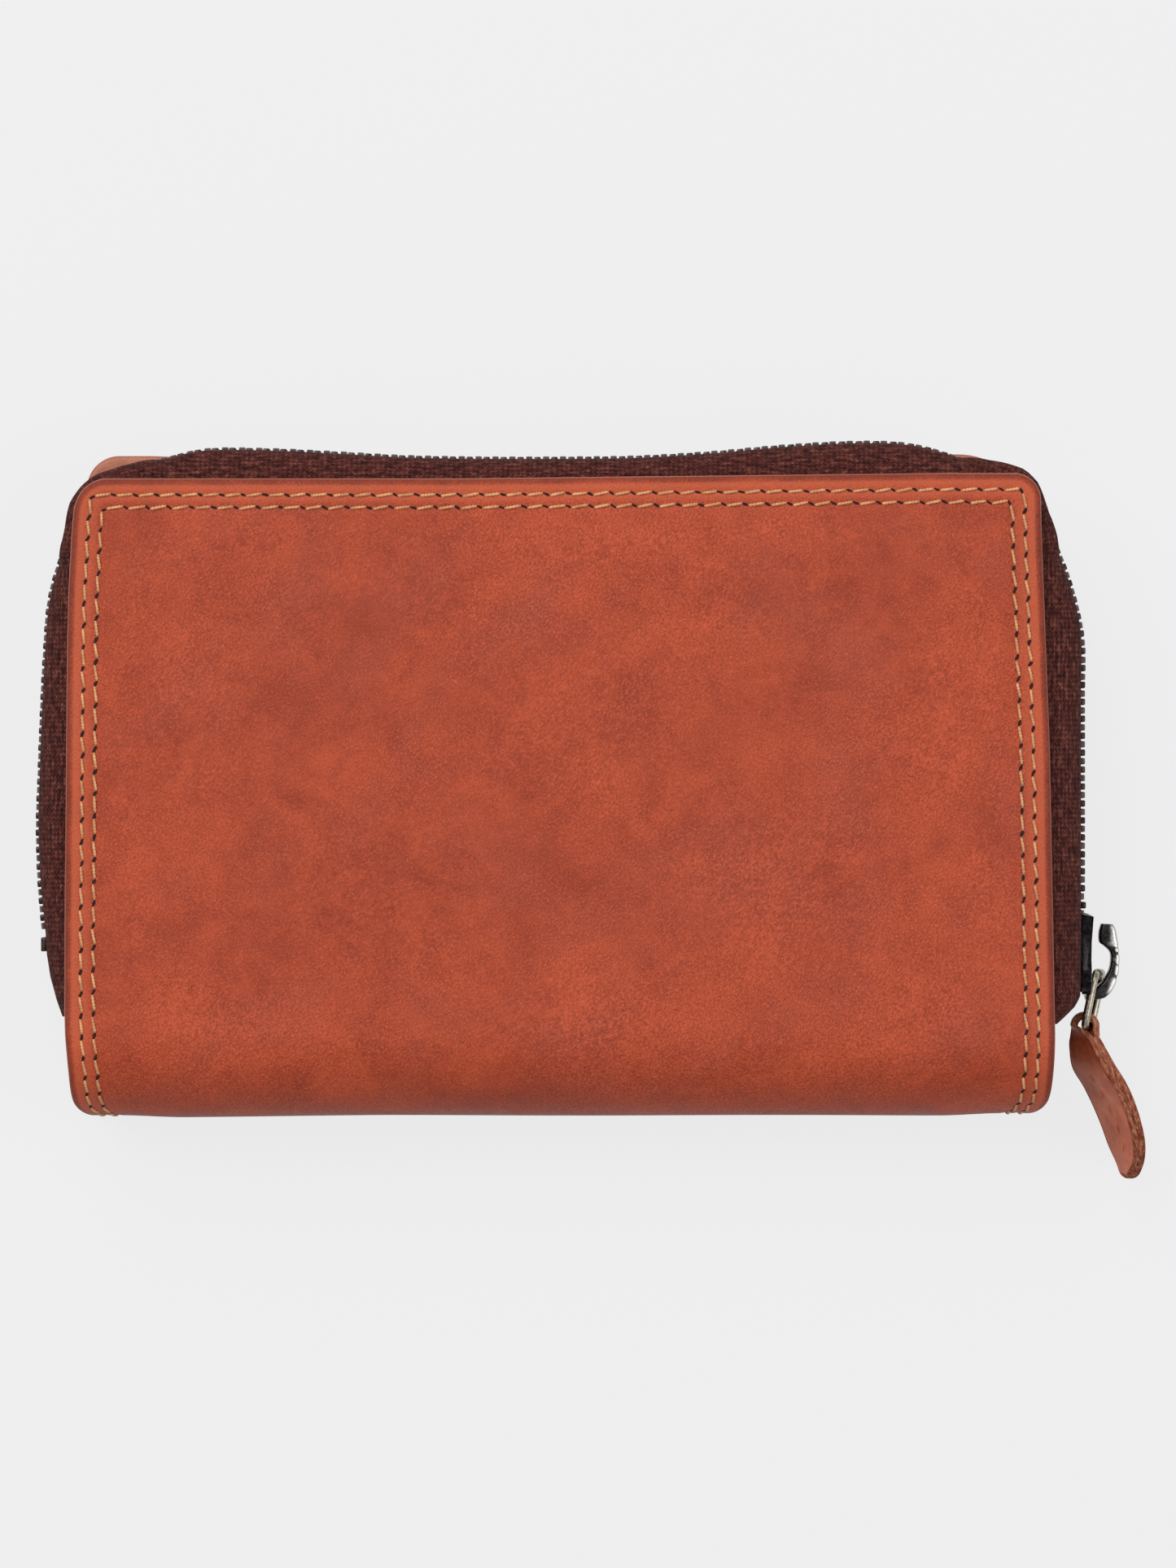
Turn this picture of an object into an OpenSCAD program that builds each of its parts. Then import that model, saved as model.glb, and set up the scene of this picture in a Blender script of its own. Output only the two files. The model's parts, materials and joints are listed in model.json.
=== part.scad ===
// Zip-around leather wallet, closed and lying on its front cover.
// X runs across the covers, Y runs from the folded spine to the top edge, Z is up.
// The origin lies on the outer face of the front cover, at mid-width.

/* [Covers] */
// Width across the covers at the spine
cover_w = 141.8; // [110:0.2:190]
// How much narrower the covers are at their top edge
cover_taper = 3; // [0:0.5:8]
// Distance of the fold line of each cover from the origin
fold_back = 36; // [25:1:45]
// Height of the front cover above its fold line
front_h = 83.5; // [70:0.5:110]
// Height of the back cover above its fold line
back_h = 79.5; // [66:0.5:110]
// Radius of the top corners
corner_r = 4; // [1:0.5:10]
// Distance between the two outer faces when closed
body_t = 24; // [23:0.5:34]
// Thickness of the cover leather
leather_t = 1.4; // [0.8:0.1:2]
// Thickness of the lining
lining_t = 0.7; // [0.4:0.1:1]
// Radius of the two ends of the spine, seen from above
end_r = 2.6; // [1:0.2:6]
// Running gap between pieces that move apart
gap = 0.3; // [0.2:0.05:0.4]

/* [Card slots] */
// Card slots on each cover
slot_count = 4; // [1:1:4]
// Width of a card slot panel
slot_w = 97; // [90:1:102]
// Visible step between one slot and the next
slot_step = 9; // [6:0.5:12]
// Thickness of a slot panel
slot_t = 0.7; // [0.4:0.1:0.8]
// Height of the lowest edge of the slots above the fold line
slot_foot = 6; // [3:0.5:12]
// Height of the first slot panel
slot_h = 60; // [55:1:66]
// Depth of the thumb notch in each slot edge
notch_d = 4; // [0:0.5:6]

/* [Outer zip] */
// Distance from one tooth to the next on one tape
tooth_pitch = 2.45; // [2:0.05:3]
// Thickness of a tooth along the chain
tooth_s = 0.95; // [0.6:0.05:1]
// Depth of a tooth through the tape
tooth_n = 2.6; // [2:0.1:3]
// Width of one row of teeth
tooth_w = 4; // [3.4:0.1:4.6]
// How far a tooth reaches past the middle of the chain
tooth_lap = 0.9; // [0.5:0.1:1.1]
// Thickness of the tape
tape_t = 0.6; // [0.4:0.05:0.8]
// Width of the tape sewn under the cover edge
tape_hem = 2.2; // [1.5:0.1:3]
// Distance of the hem from the cover edge
tape_seat = 3; // [2.5:0.1:4]
// Height of the first tooth above the fold line
chain_rise = 14.5; // [12:0.5:20]
// How far the slider side of the chain stands off the cover
chain_out = 3.8; // [3.4:0.1:6]

/* [Slider] */
// Length of the slider body
slider_l = 12.6; // [11:0.2:15]
// Thickness of each slider wing
wing_t = 0.9; // [0.7:0.1:1.2]
// Clearance between the teeth and the slider
slider_gap = 0.15; // [0.1:0.01:0.25]
// Half width of the wedge between the rows
wedge_w = 1.1; // [0.8:0.1:1.3]
// Height of the crown over the slider
crown_h = 4; // [3.6:0.1:5]
// Length of the crown
crown_l = 10.4; // [9.6:0.2:11.4]
// Thickness of the crown band
crown_t = 1.4; // [1.2:0.1:1.6]
// Width of the crown band
crown_w = 2.8; // [2:0.1:3.4]

/* [Pull] */
// Wire thickness of the pull link
wire_d = 1.2; // [1:0.05:1.3]
// Length of the link between its two bars
link_l = 7.9; // [7:0.1:10]
// Width of the link between its side bars
link_w = 7.2; // [6.6:0.1:9]
// Width of the leather tab
tab_w = 12; // [9:0.5:13]
// Thickness of the folded leather tab
tab_t = 3.2; // [2.4:0.1:3.6]
// Width of the tab where it is threaded through the link
tab_neck = 3.4; // [2.6:0.1:3.5]

/* [Coin pocket] */
// Width of the coin pocket
coin_w = 130; // [110:1:132]
// Height of the coin zip above the fold line
coin_rise = 63; // [50:1:64]
// Clear depth inside the coin pocket
coin_gap = 4.2; // [3.6:0.1:6]
// Thickness of the pocket leather
coin_t = 0.8; // [0.5:0.1:1]
// Pitch of the coin zip teeth
coin_pitch = 2; // [1.8:0.1:2.4]
// Length of the coin zip
coin_zip_l = 104; // [80:1:106]
// Length of the coin zip pull
coin_pull_l = 12; // [8:0.5:13]

/* [Gussets] */
// Height of the side gussets
gusset_h = 36; // [25:1:45]
// Depth of the gusset fold
gusset_d = 7; // [4:0.5:9]
// Thickness of the gusset leather
gusset_t = 0.6; // [0.4:0.1:0.8]

/* [Hidden] */
$fn = 48;
mid_z = body_t / 2;
fold_y = -fold_back;
front_top = fold_y + front_h;
back_top = fold_y + back_h;
half_w = cover_w / 2;
spine_r = body_t / 2;
lining_z = leather_t + lining_t;
rim_top = max(front_top, back_top);
hem_r = 8;
hem_x = half_w - cover_taper / 2 - tape_seat;

cognac = [0.66, 0.27, 0.12];
tan_lining = [0.55, 0.30, 0.18];
tape_brown = [0.20, 0.08, 0.06];
gunmetal = [0.22, 0.21, 0.20];
old_brass = [0.55, 0.47, 0.32];

// ---- helpers -------------------------------------------------------------
function lerp(a, b, t) = a + (b - a) * t;
function unit(v) = v / max(norm(v), 0.000001);
function clamp(v, lo, hi) = min(max(v, lo), hi);

// points of an arc from angle a0 to angle a1
function arc(c, rx, ry, a0, a1, n = 6) =
    [for (i = [0:n]) let (a = lerp(a0, a1, i / n)) c + [rx * cos(a), ry * sin(a)]];

// closed skin over rings of points, each ring as long as the others
// end faces as a strip between the two halves of a ring of an even number of points
function cap(m, k, far) =
    [for (j = [0:m / 2 - 2], t = [[j, j + 1, m - 1 - j], [j + 1, m - 2 - j, m - 1 - j]])
        [k + t[far * 2], k + t[1], k + t[2 - far * 2]]];

module skin(rings) {
    m = len(rings[0]);
    n = len(rings);
    polyhedron(
        points = [for (r = rings) each r],
        faces = concat(
            cap(m, 0, 0),
            [for (i = [0:n - 2], j = [0:m - 1]) each [
                [i * m + j, (i + 1) * m + j, i * m + (j + 1) % m],
                [(i + 1) * m + j, (i + 1) * m + (j + 1) % m, i * m + (j + 1) % m]
            ]],
            cap(m, (n - 1) * m, 1)
        ),
        convexity = 6
    );
}

// mirror a piece of the front cover to the back cover
module to_back() {
    translate([0, 0, body_t]) mirror([0, 0, 1]) children();
}

// ---- covers --------------------------------------------------------------
// outline of a cover, from the fold line up, pulled in by inset
module cover_2d(top, inset = 0, foot = 0) {
    x0 = half_w - inset;
    x1 = half_w - cover_taper / 2 - inset;
    y0 = fold_y + foot;
    y1 = top - inset;
    r = max(corner_r - inset, 0.5);
    polygon(concat(
        [[-x0, y0], [x0, y0]],
        arc([x1 - r, y1 - r], r, r, 0, 90),
        arc([-x1 + r, y1 - r], r, r, 90, 180)
    ));
}

module cover(top) {
    linear_extrude(leather_t) cover_2d(top, 0, gap / 2);
}

// the lining meets the hem of the zip tape and follows its round corners
module lining(top) {
    r = hem_r - tape_hem - gap;
    x = hem_x - hem_r;
    y = top - tape_seat - hem_r;
    y0 = fold_y + gap / 2;
    translate([0, 0, leather_t])
    linear_extrude(lining_t)
    polygon(concat([[-x - r, y0], [x + r, y0]], arc([x, y], r, r, 0, 90), arc([-x, y], r, r, 90, 180)));
}

// one card slot panel, stacked on the ones before it
module card_slot(i) {
    h = slot_h - (i - 1) * slot_step;
    y0 = fold_y + slot_foot;
    if (i <= slot_count)
    translate([0, 0, lining_z + (i - 1) * slot_t])
    linear_extrude(slot_t)
    difference() {
        translate([-slot_w / 2, y0]) square([slot_w, h]);
        translate([0, y0 + h + 9 - notch_d]) circle(r = 9);
    }
}

module front_panel() { color(cognac) cover(front_top); }
module back_panel() { color(cognac) to_back() cover(back_top); }
module front_lining() { color(tan_lining) lining(front_top); }
module back_lining() { color(tan_lining) to_back() lining(back_top); }
module front_card_slot(i) { color(tan_lining) card_slot(i); }
module back_card_slot(i) { color(tan_lining) to_back() card_slot(i); }

// ---- spine ---------------------------------------------------------------
// plan of the spine, with its two ends drawn in towards the fold
module spine_2d(inset) {
    w = half_w - inset;
    y0 = fold_y - gap / 2;
    polygon(concat(
        [[-w, y0]],
        arc([-w + end_r, fold_y - spine_r + end_r + 0.6], end_r, end_r + 1, 180, 262, 8),
        arc([w - end_r, fold_y - spine_r + end_r + 0.6], end_r, end_r + 1, 278, 360, 8),
        [[w, y0]]
    ));
}

// half tube round the fold
module spine_shell(r_out, t, inset) {
    intersection() {
        linear_extrude(body_t) spine_2d(inset);
        translate([-half_w, fold_y, mid_z])
        rotate([0, 90, 0])
        difference() {
            cylinder(r = r_out, h = cover_w, $fn = 96);
            translate([0, 0, -1]) cylinder(r = r_out - t, h = cover_w + 2, $fn = 96);
        }
    }
}

module spine_leather() { color(cognac) spine_shell(spine_r, leather_t, 0); }
module spine_lining() {
    color(tan_lining) spine_shell(spine_r - leather_t, lining_t, tape_seat + gap);
}

// ---- line of the outer zip -----------------------------------------------
chain_y0 = fold_y + chain_rise;
side_h = rim_top - chain_y0;
chain_x = half_w + chain_out;

// [share of the side, stand-off of the chain from the cover]
left_bow = [
    [0.00, 2.8], [0.11, 3.5], [0.225, 3.8], [0.34, 3.6], [0.455, 3.3],
    [0.57, 2.9], [0.69, 2.3], [0.79, 0.9], [0.90, -2.3]
];
// [share of half the width, height over the front cover]
top_bow = [
    [-0.895, -2.9], [-0.81, -1.4], [-0.72, -0.5], [-0.59, -0.5], [-0.465, -0.9], [-0.31, -1.5],
    [-0.155, -1.7], [0, -1.7], [0.155, -1.55], [0.31, -0.9], [0.45, 0],
    [0.59, 0.55], [0.71, 0.5], [0.81, -0.9], [0.895, -3.4]
];
// [share of the side, drop towards the cover from the slider's straight run]
right_bow = [
    [0.885, 5.7], [0.79, 2.5], [0.71, 0.9], [0.62, 0], [0.50, 0], [0.375, 0],
    [0.25, 0], [0.125, 0], [0.02, 0], [-0.1, 0]
];

chain_knots = concat(
    [for (k = left_bow) [-(half_w + k[1]), chain_y0 + k[0] * side_h]],
    [for (k = top_bow) [k[0] * half_w, rim_top + k[1]]],
    [for (k = right_bow) [chain_x - k[1], chain_y0 + k[0] * side_h]]
);

function spline(p0, p1, p2, p3, t) = 0.5 * (
    2 * p1 + (p2 - p0) * t
    + (2 * p0 - 5 * p1 + 4 * p2 - p3) * t * t
    + (3 * p1 - p0 - 3 * p2 + p3) * t * t * t);

function smooth_line(k, n) = [
    for (i = [0:len(k) - 2], j = [0:n - 1])
        spline(k[max(i - 1, 0)], k[i], k[i + 1], k[min(i + 2, len(k) - 1)], j / n)
];
chain_pts = smooth_line(chain_knots, 8);

function run_length(p, i = 0, s = 0) = i >= len(p) ? [] :
    concat([s], run_length(p, i + 1, s + (i + 1 < len(p) ? norm(p[i + 1] - p[i]) : 0)));
chain_run = run_length(chain_pts);
chain_sx = [for (i = [0:len(chain_pts) - 1]) [chain_run[i], chain_pts[i][0]]];
chain_sy = [for (i = [0:len(chain_pts) - 1]) [chain_run[i], chain_pts[i][1]]];
function chain_at(s) = [lookup(s, chain_sx), lookup(s, chain_sy)];
function chain_dir(s) = unit(chain_at(s + 0.4) - chain_at(s - 0.4));

// the slider rests with its tail at the lower end of the right side
slider_tail = chain_y0 + 2.5;
slider_nose = slider_tail - slider_l;
chain_l = lookup(0, [for (i = [len(chain_pts) - 1:-1:floor(len(chain_pts) * 0.7)])
    [abs(chain_pts[i][1] - (slider_tail + 1.4)) < 8 && chain_pts[i][0] > 0
        ? chain_pts[i][1] - (slider_tail + 1.4) : chain_pts[i][1] + 1000, chain_run[i]]]);
tooth_count = floor(chain_l / tooth_pitch - 0.5);

// ---- teeth ---------------------------------------------------------------
tape_top = mid_z - 1.8;
leg_z = mid_z + tooth_lap - tooth_w;

// one tooth of the front row: two legs over the tape edge and a blunt head
module tooth(n = tooth_n, s = tooth_s, z0 = leg_z, z1 = mid_z + tooth_lap, slot = tape_top, c = 0.4) {
    w = n / 2;
    g = tape_t / 2 + 0.2;
    rotate([90, 0, 0])
    translate([0, 0, -s / 2])
    linear_extrude(s)
    polygon([
        [-w, z0], [-g, z0], [-g, slot + 0.15], [g, slot + 0.15], [g, z0], [w, z0],
        [w, z1 - 2 * c], [w - c, z1], [-w + c, z1], [-w, z1 - 2 * c]
    ]);
}

// teeth of one row: side is -1 for left, 0 for top, 1 for right
module tooth_row(side, shift) {
    turn_y = chain_y0 + 0.66 * side_h;
    for (i = [0:tooth_count - 1]) {
        s = (i + 0.3 + shift) * tooth_pitch;
        p = chain_at(s);
        d = chain_dir(s);
        zone = p[1] > turn_y ? 0 : sign(p[0]);
        if (zone == side)
        translate([p[0], p[1], 0])
        rotate([0, 0, atan2(-d[0], d[1])])
        tooth();
    }
}

module front_teeth(side) { color(gunmetal) tooth_row(side, 0); }
module back_teeth(side) { color(gunmetal) to_back() tooth_row(side, 0.5); }

// ---- tape ----------------------------------------------------------------
// nearest point of the hem line, a rounded frame inside the cover edge
function hem_at(p, top) =
    let (x = hem_x - hem_r, y = top - tape_seat - hem_r,
        c = [clamp(p[0], -x, x), min(p[1], y)], d = unit(p - c))
    c + d * hem_r;

bend_z = mid_z - 6.2;
tape_bend = [
    [0, 0], [25, 0], [50, 0], [70, 0], [90, 0], [90, 0.5], [90, 1]
];

// section of the tape from the hem to the chain, outer face then inner face
function tape_ring(p, root, z1 = tape_top, hem = tape_hem) =
    let (d = p - root, u = unit(d), w = norm(d) + tape_t / 2, z0 = leather_t, h = bend_z - z0,
        outer = concat([[-hem, z0]],
            [for (b = tape_bend) [w * sin(b[0]), z0 + h * (1 - cos(b[0])) + b[1] * (z1 - bend_z)]]),
        inner = concat([[-hem, z0 + tape_t]],
            [for (b = tape_bend) [(w - tape_t) * sin(b[0]),
                z0 + tape_t + (h - tape_t) * (1 - cos(b[0])) + b[1] * (z1 - bend_z)]]))
    [for (q = concat(outer, [for (i = [len(inner) - 1:-1:0]) inner[i]]))
        [root[0] + u[0] * q[0], root[1] + u[1] * q[0], q[1]]];

tape_steps = 72;
module zip_tape(top) {
    s0 = 0.3;
    s1 = chain_l - 0.3;
    skin([for (i = [tape_steps:-1:0])
        let (p = chain_at(lerp(s0, s1, i / tape_steps))) tape_ring(p, hem_at(p, top))]);
}
module front_zip_tape() { color(tape_brown) zip_tape(front_top); }
module back_zip_tape() { color(tape_brown) to_back() zip_tape(back_top); }

// ---- tape ends beside the spine ------------------------------------------
// [share of the run to the fold, share of the stand-off kept]
left_tail = [[0, 1], [0.25, 0.93], [0.5, 0.72], [0.75, 0.35], [0.92, 0.02]];
right_tail = [[0, 1], [0.3, 1], [0.6, 1], [0.78, 1], [0.86, 0.75], [0.94, 0.35], [1, 0.02]];
tail_end = fold_y + 1.2;

// one tape end on the side x = -1 or 1, from the chain down to the fold
module tail(side, run, x_out, y_start) {
    rings = [for (k = run)
        let (y = lerp(y_start, tail_end, k[0]), x = half_w + lerp(0.3, x_out, k[1]))
        tape_ring([side * x, y], [side * hem_x, y], tape_top, 0.4)];
    n = len(rings) - 1;
    skin([for (i = [0:n]) rings[side > 0 ? i : n - i]]);
}
tail_y0 = chain_at(0.3)[1] - gap;
tail_y1 = chain_at(chain_l - 0.3)[1] - gap;
module left_tail_piece() { tail(-1, left_tail, left_bow[0][1], tail_y0); }
module right_tail_piece() { tail(1, right_tail, chain_out, tail_y1); }
module zip_tail_left_front() { color(tape_brown) left_tail_piece(); }
module zip_tail_left_back() { color(tape_brown) to_back() left_tail_piece(); }
module zip_tail_right_front() { color(tape_brown) right_tail_piece(); }
module zip_tail_right_back() { color(tape_brown) to_back() right_tail_piece(); }

// the last teeth of both rows, held by the resting slider
module zip_end_teeth() {
    color(gunmetal)
    for (k = [0, 1], i = [1:3]) {
        s = (tooth_count + i - 0.7 + 0.5 * k) * tooth_pitch;
        translate([chain_x, chain_at(tooth_pitch * (tooth_count - 0.7))[1]
            - (i + 0.5 * k) * tooth_pitch, k * body_t])
        mirror([0, 0, k])
        tooth();
    }
}

// cast stop across both rows at the left end
module zip_bottom_stop() {
    color(gunmetal)
    translate([chain_at(0)[0], chain_y0 - 1.6, mid_z])
    difference() {
        translate([-tooth_n / 2, -1.4, -2.4]) cube([tooth_n, 2, 4.8]);
        for (k = [0, 1])
            mirror([0, 0, k])
            translate([-tape_t / 2 - 0.25, -2, 1.5])
            cube([tape_t + 0.5, 4, 2]);
    }
}

// a pressed stop on each tape inside the slider's nose
stop_y = slider_nose + 1.7;
module zip_top_stops() {
    color(gunmetal)
    for (k = [0, 1])
        translate([chain_x, stop_y, k * body_t])
        mirror([0, 0, k])
        difference() {
            translate([-0.7, 0, mid_z - 4.7]) cube([1.4, 1.9, 1.2]);
            translate([-tape_t / 2 - 0.1, -1, mid_z - 5]) cube([tape_t + 0.2, 4, 2]);
        }
}

// ---- slider --------------------------------------------------------------
row_w = tooth_w - tooth_lap;
tail_half = row_w + slider_gap + 0.7;
nose_half = row_w + wedge_w + 0.9 + slider_gap + 0.7;
wing_x = tooth_n / 2 + slider_gap;
relief = 5.5;
shoulder_y = slider_nose + 5.2;

// plan of a wing, tail up, in y and z about the chain
module wing_2d(cut = 0) {
    t = tail_half - cut;
    n = nose_half - cut;
    polygon(concat(
        [[slider_tail + cut, -t], [slider_tail + cut, t]],
        [[lerp(slider_tail, shoulder_y, 0.55), t], [shoulder_y - 0.6, n]],
        arc([slider_nose + 3.2, 0], 3.2 + cut, n, 90, 270, 12),
        [[shoulder_y - 0.6, -n], [lerp(slider_tail, shoulder_y, 0.55), -t]]
    ));
}

module wing(x0, t) {
    translate([x0, 0, mid_z]) rotate([0, 90, 0]) rotate([0, 0, 90]) linear_extrude(t)
    mirror([0, 1]) wing_2d();
}

// the outer wing thins towards the nose, on both sides of the crown, under the leaning link
module link_relief() {
    for (s = [-1, 1])
        translate([wing_x + wing_t, slider_nose + 6, mid_z + s * (nose_half / 2 + crown_w / 2 + 0.5)])
        rotate([0, 0, -relief])
        translate([0, -9, -nose_half / 2])
        cube([3, 9, nose_half]);
}

module slider_body() {
    color(gunmetal)
    translate([chain_x, 0, 0])
    union() {
        difference() {
            wing(wing_x, wing_t);
            link_relief();
        }
        mirror([1, 0, 0]) wing(wing_x, wing_t);
        for (m = [0, 1]) mirror([m, 0, 0]) {
            // rolled edges that guide the rows and leave a slot for the tape
            difference() {
                wing(0.55, wing_x - 0.54);
                translate([0.5, 0, mid_z]) rotate([0, 90, 0]) rotate([0, 0, 90])
                linear_extrude(wing_x + 0.02 - 0.5)
                wing_2d(0.7);
            }
        }
        // wedge that parts the two rows
        translate([-wing_x - 0.1, slider_nose + 1.2, mid_z])
        rotate([0, 90, 0])
        rotate([0, 0, 90])
        linear_extrude(2 * wing_x + 0.2)
        polygon([[0, -0.5], [1.6, -wedge_w], [3.6, 0], [1.6, wedge_w], [0, 0.5]]);
    }
}

// open arch over the outer wing, closed at the nose and free at the tail
crown_y = slider_nose + 5.4;
crown_x = chain_x + wing_x + wing_t;
module slider_crown() {
    b = crown_l / 2;
    color(gunmetal)
    translate([crown_x, crown_y, mid_z - crown_w / 2])
    linear_extrude(crown_w)
    polygon(concat(
        [[0, -b]],
        arc([0, 0], crown_h, b, -90, 52, 20),
        arc([0, 0], crown_h - crown_t, b - crown_t - 0.4, 46, -90, 16)
    ));
}

// ---- pull link and tab ---------------------------------------------------
bar_x = crown_x + 1.1;
bar_y = crown_y - 1.5;
link_lean = 12;
bar2_x = bar_x - link_l * sin(link_lean);
bar2_y = bar_y - link_l * cos(link_lean);

// bent wire ring, drawn with its long axis down the slider
module pull_link() {
    r = 1.6;
    a = link_w / 2;
    color(old_brass)
    translate([bar_x, bar_y, mid_z])
    rotate([0, 0, -link_lean])
    rotate([0, 90, 0])
    union() {
        for (y = [0, -link_l])
            translate([-a + r, y, 0]) rotate([0, 90, 0]) cylinder(d = wire_d, h = 2 * (a - r), $fn = 24);
        for (x = [-a, a])
            translate([x, -r, 0]) rotate([90, 0, 0]) cylinder(d = wire_d, h = link_l - 2 * r, $fn = 24);
        for (k = [[a - r, -r, 0], [-a + r, -r, 90], [-a + r, -link_l + r, 180], [a - r, -link_l + r, 270]])
            translate([k[0], k[1], 0]) rotate([0, 0, k[2]])
            rotate_extrude(angle = 90, $fn = 32) translate([r, 0]) circle(d = wire_d, $fn = 24);
    }
}

// strap stations: [x and y from the lower bar, drop, width share, thickness share, twist]
tab_run = [
    [-0.3, -1.5, 0, 0.28, 1.0, 0], [-0.3, -3.0, 0, 0.28, 1.05, 1], [0.1, -5.8, 0, 0.29, 1.0, 3],
    [2.7, -9.0, 1.5, 0.85, 1.0, 6], [4.5, -13.4, 3.3, 1.0, 1.0, 10], [5.7, -17.6, 4.9, 0.96, 1.0, 13],
    [6.1, -20.0, 5.5, 0.78, 0.95, 13], [6.2, -21.3, 5.7, 0.52, 0.9, 13], [6.25, -22.0, 5.8, 0.22, 0.8, 13]
];
module pull_tab() {
    n = len(tab_run);
    color(cognac)
    union() {
        // eye folded round the lower bar of the link
        translate([bar2_x, bar2_y, mid_z - tab_neck / 2])
        difference() {
            cylinder(r = wire_d / 2 + 0.2 + tab_t / 2 - 0.2, h = tab_neck);
            translate([0, 0, -1]) cylinder(r = wire_d / 2 + 0.2, h = tab_neck + 2);
        }
        skin([for (i = [n - 1:-1:0])
            let (k = tab_run[i], a = tab_run[max(i - 1, 0)], b = tab_run[min(i + 1, n - 1)],
                d = unit([b[0] - a[0], b[1] - a[1], -(b[2] - a[2])]),
                side = unit([-d[1], d[0], 0]), up = cross(d, side),
                s = side * cos(k[5]) - up * sin(k[5]), v = up * cos(k[5]) + side * sin(k[5]),
                c = [bar2_x + k[0], bar2_y + k[1], mid_z - k[2]],
                w = (i == 0 ? tab_neck : tab_w * k[3]) / 2, t = tab_t * k[4] / 2, e = min(0.6, w * 0.4))
            [c + v * (w - e) - s * t, c + v * w - s * (t - e), c + v * w + s * (t - e),
                c + v * (w - e) + s * t, c - v * (w - e) + s * t, c - v * w + s * (t - e),
                c - v * w - s * (t - e), c - v * (w - e) - s * t]
        ]);
    }
}

// ---- coin pocket ---------------------------------------------------------
coin_z = mid_z - coin_gap / 2 - coin_t;
coin_chain_y = fold_y + coin_rise;
coin_top = coin_chain_y - 2.5;
lining_r = spine_r - lining_z;
coin_foot = fold_y - sqrt(pow(lining_r, 2) - pow(mid_z - coin_z, 2)) + gap;

module coin_panel() {
    w = coin_w / 2;
    r = 5;
    color(tan_lining)
    translate([0, 0, coin_z])
    linear_extrude(coin_t)
    polygon(concat(
        arc([-w + r, coin_foot + r], r, r, 180, 270),
        arc([w - r, coin_foot + r], r, r, 270, 360),
        [[w, coin_top], [-w, coin_top]]
    ));
}
module coin_pocket_front() { coin_panel(); }
module coin_pocket_back() { to_back() coin_panel(); }

// strip that closes the pocket at its sides and foot
module coin_pocket_gusset() {
    w = coin_w / 2 - 3;
    color(tan_lining)
    translate([0, 0, mid_z - coin_gap / 2])
    linear_extrude(coin_gap)
    difference() {
        translate([-w, coin_foot + 1]) square([2 * w, coin_top - coin_foot - 1]);
        translate([-w + coin_t, coin_foot + 1 + coin_t])
        square([2 * (w - coin_t), coin_top - coin_foot + 1]);
    }
}

// tape folded over the mouth of the pocket, drawn in y and z
coin_tape_t = 0.5;
module coin_tape() {
    y = coin_chain_y;
    z = coin_z + coin_t;
    t = coin_tape_t;
    color(tape_brown)
    translate([-coin_zip_l / 2 - 4, 0, 0])
    rotate([90, 0, 90])
    linear_extrude(coin_zip_l + 8)
    polygon([
        [y - 8, z], [y - t, z], [y + t / 2, z + 0.5], [y + t / 2, mid_z - 1],
        [y - t / 2, mid_z - 1], [y - t / 2, z + t + 0.2], [y - 2 * t, z + t], [y - 8, z + t]
    ]);
}
module coin_zip_tape_front() { coin_tape(); }
module coin_zip_tape_back() { to_back() coin_tape(); }

coin_tooth_n = 2;
coin_teeth = floor((coin_zip_l - 8) / coin_pitch);
coin_row = coin_teeth * coin_pitch / 2;
module coin_zip_teeth() {
    color(old_brass)
    for (k = [0, 1], i = [0:coin_teeth - 1])
        translate([-coin_row + (i + 0.25 + 0.5 * k) * coin_pitch, coin_chain_y, k * body_t])
        mirror([0, 0, k])
        rotate([0, 0, 90])
        tooth(coin_tooth_n, 0.7, mid_z - 1.3, mid_z + 0.5, mid_z - 1, 0.25);
}
module coin_zip_stops() {
    color(old_brass)
    for (x = [-1, 1])
        translate([x * (coin_zip_l / 2 - 1) - 0.9, coin_chain_y - 0.9, mid_z - 0.95])
        cube([1.8, 1.8, 1.9]);
}

// ---- coin zip slider -----------------------------------------------------
coin_slider_x = coin_row - 2;
coin_slider_l = 8;
coin_wing_y = coin_tooth_n / 2 + 0.15;
module coin_slider() {
    z1 = 2.6;
    y1 = coin_chain_y + coin_wing_y;
    color(old_brass)
    union() {
        translate([coin_slider_x - coin_slider_l / 2, y1, mid_z - z1]) cube([coin_slider_l, 0.8, 2 * z1]);
        translate([coin_slider_x - coin_slider_l / 2, coin_chain_y - coin_wing_y - 0.7, mid_z - 1.4])
        cube([coin_slider_l, 0.7, 2.8]);
        // wedge ahead of the last teeth
        translate([coin_slider_x + 2.4, coin_chain_y - coin_wing_y - 0.1, mid_z - 0.4])
        cube([1.2, 2 * coin_wing_y + 0.2, 0.8]);
        // two ears with the pin of the pull
        for (s = [-1, 1])
            translate([coin_slider_x - 1.4, y1 + 0.7, mid_z + s * 1.6 - 0.4]) cube([2.8, 2, 0.8]);
        translate([coin_slider_x, y1 + 1.9, mid_z - 1.7]) cylinder(d = 0.9, h = 3.4, $fn = 24);
    }
}
coin_pin_y = coin_chain_y + coin_wing_y + 1.9;
module coin_pull() {
    color(old_brass)
    translate([coin_slider_x, coin_pin_y, mid_z])
    difference() {
        union() {
            translate([0, 0, -1]) cylinder(d = 1.9, h = 2, $fn = 24);
            translate([-coin_pull_l, -0.4, -1]) cube([coin_pull_l, 0.8, 2]);
            translate([-coin_pull_l, -0.4, -2]) cube([coin_pull_l - 3, 0.8, 4]);
        }
        translate([0, 0, -2]) cylinder(d = 1.1, h = 4, $fn = 24);
    }
}

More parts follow.
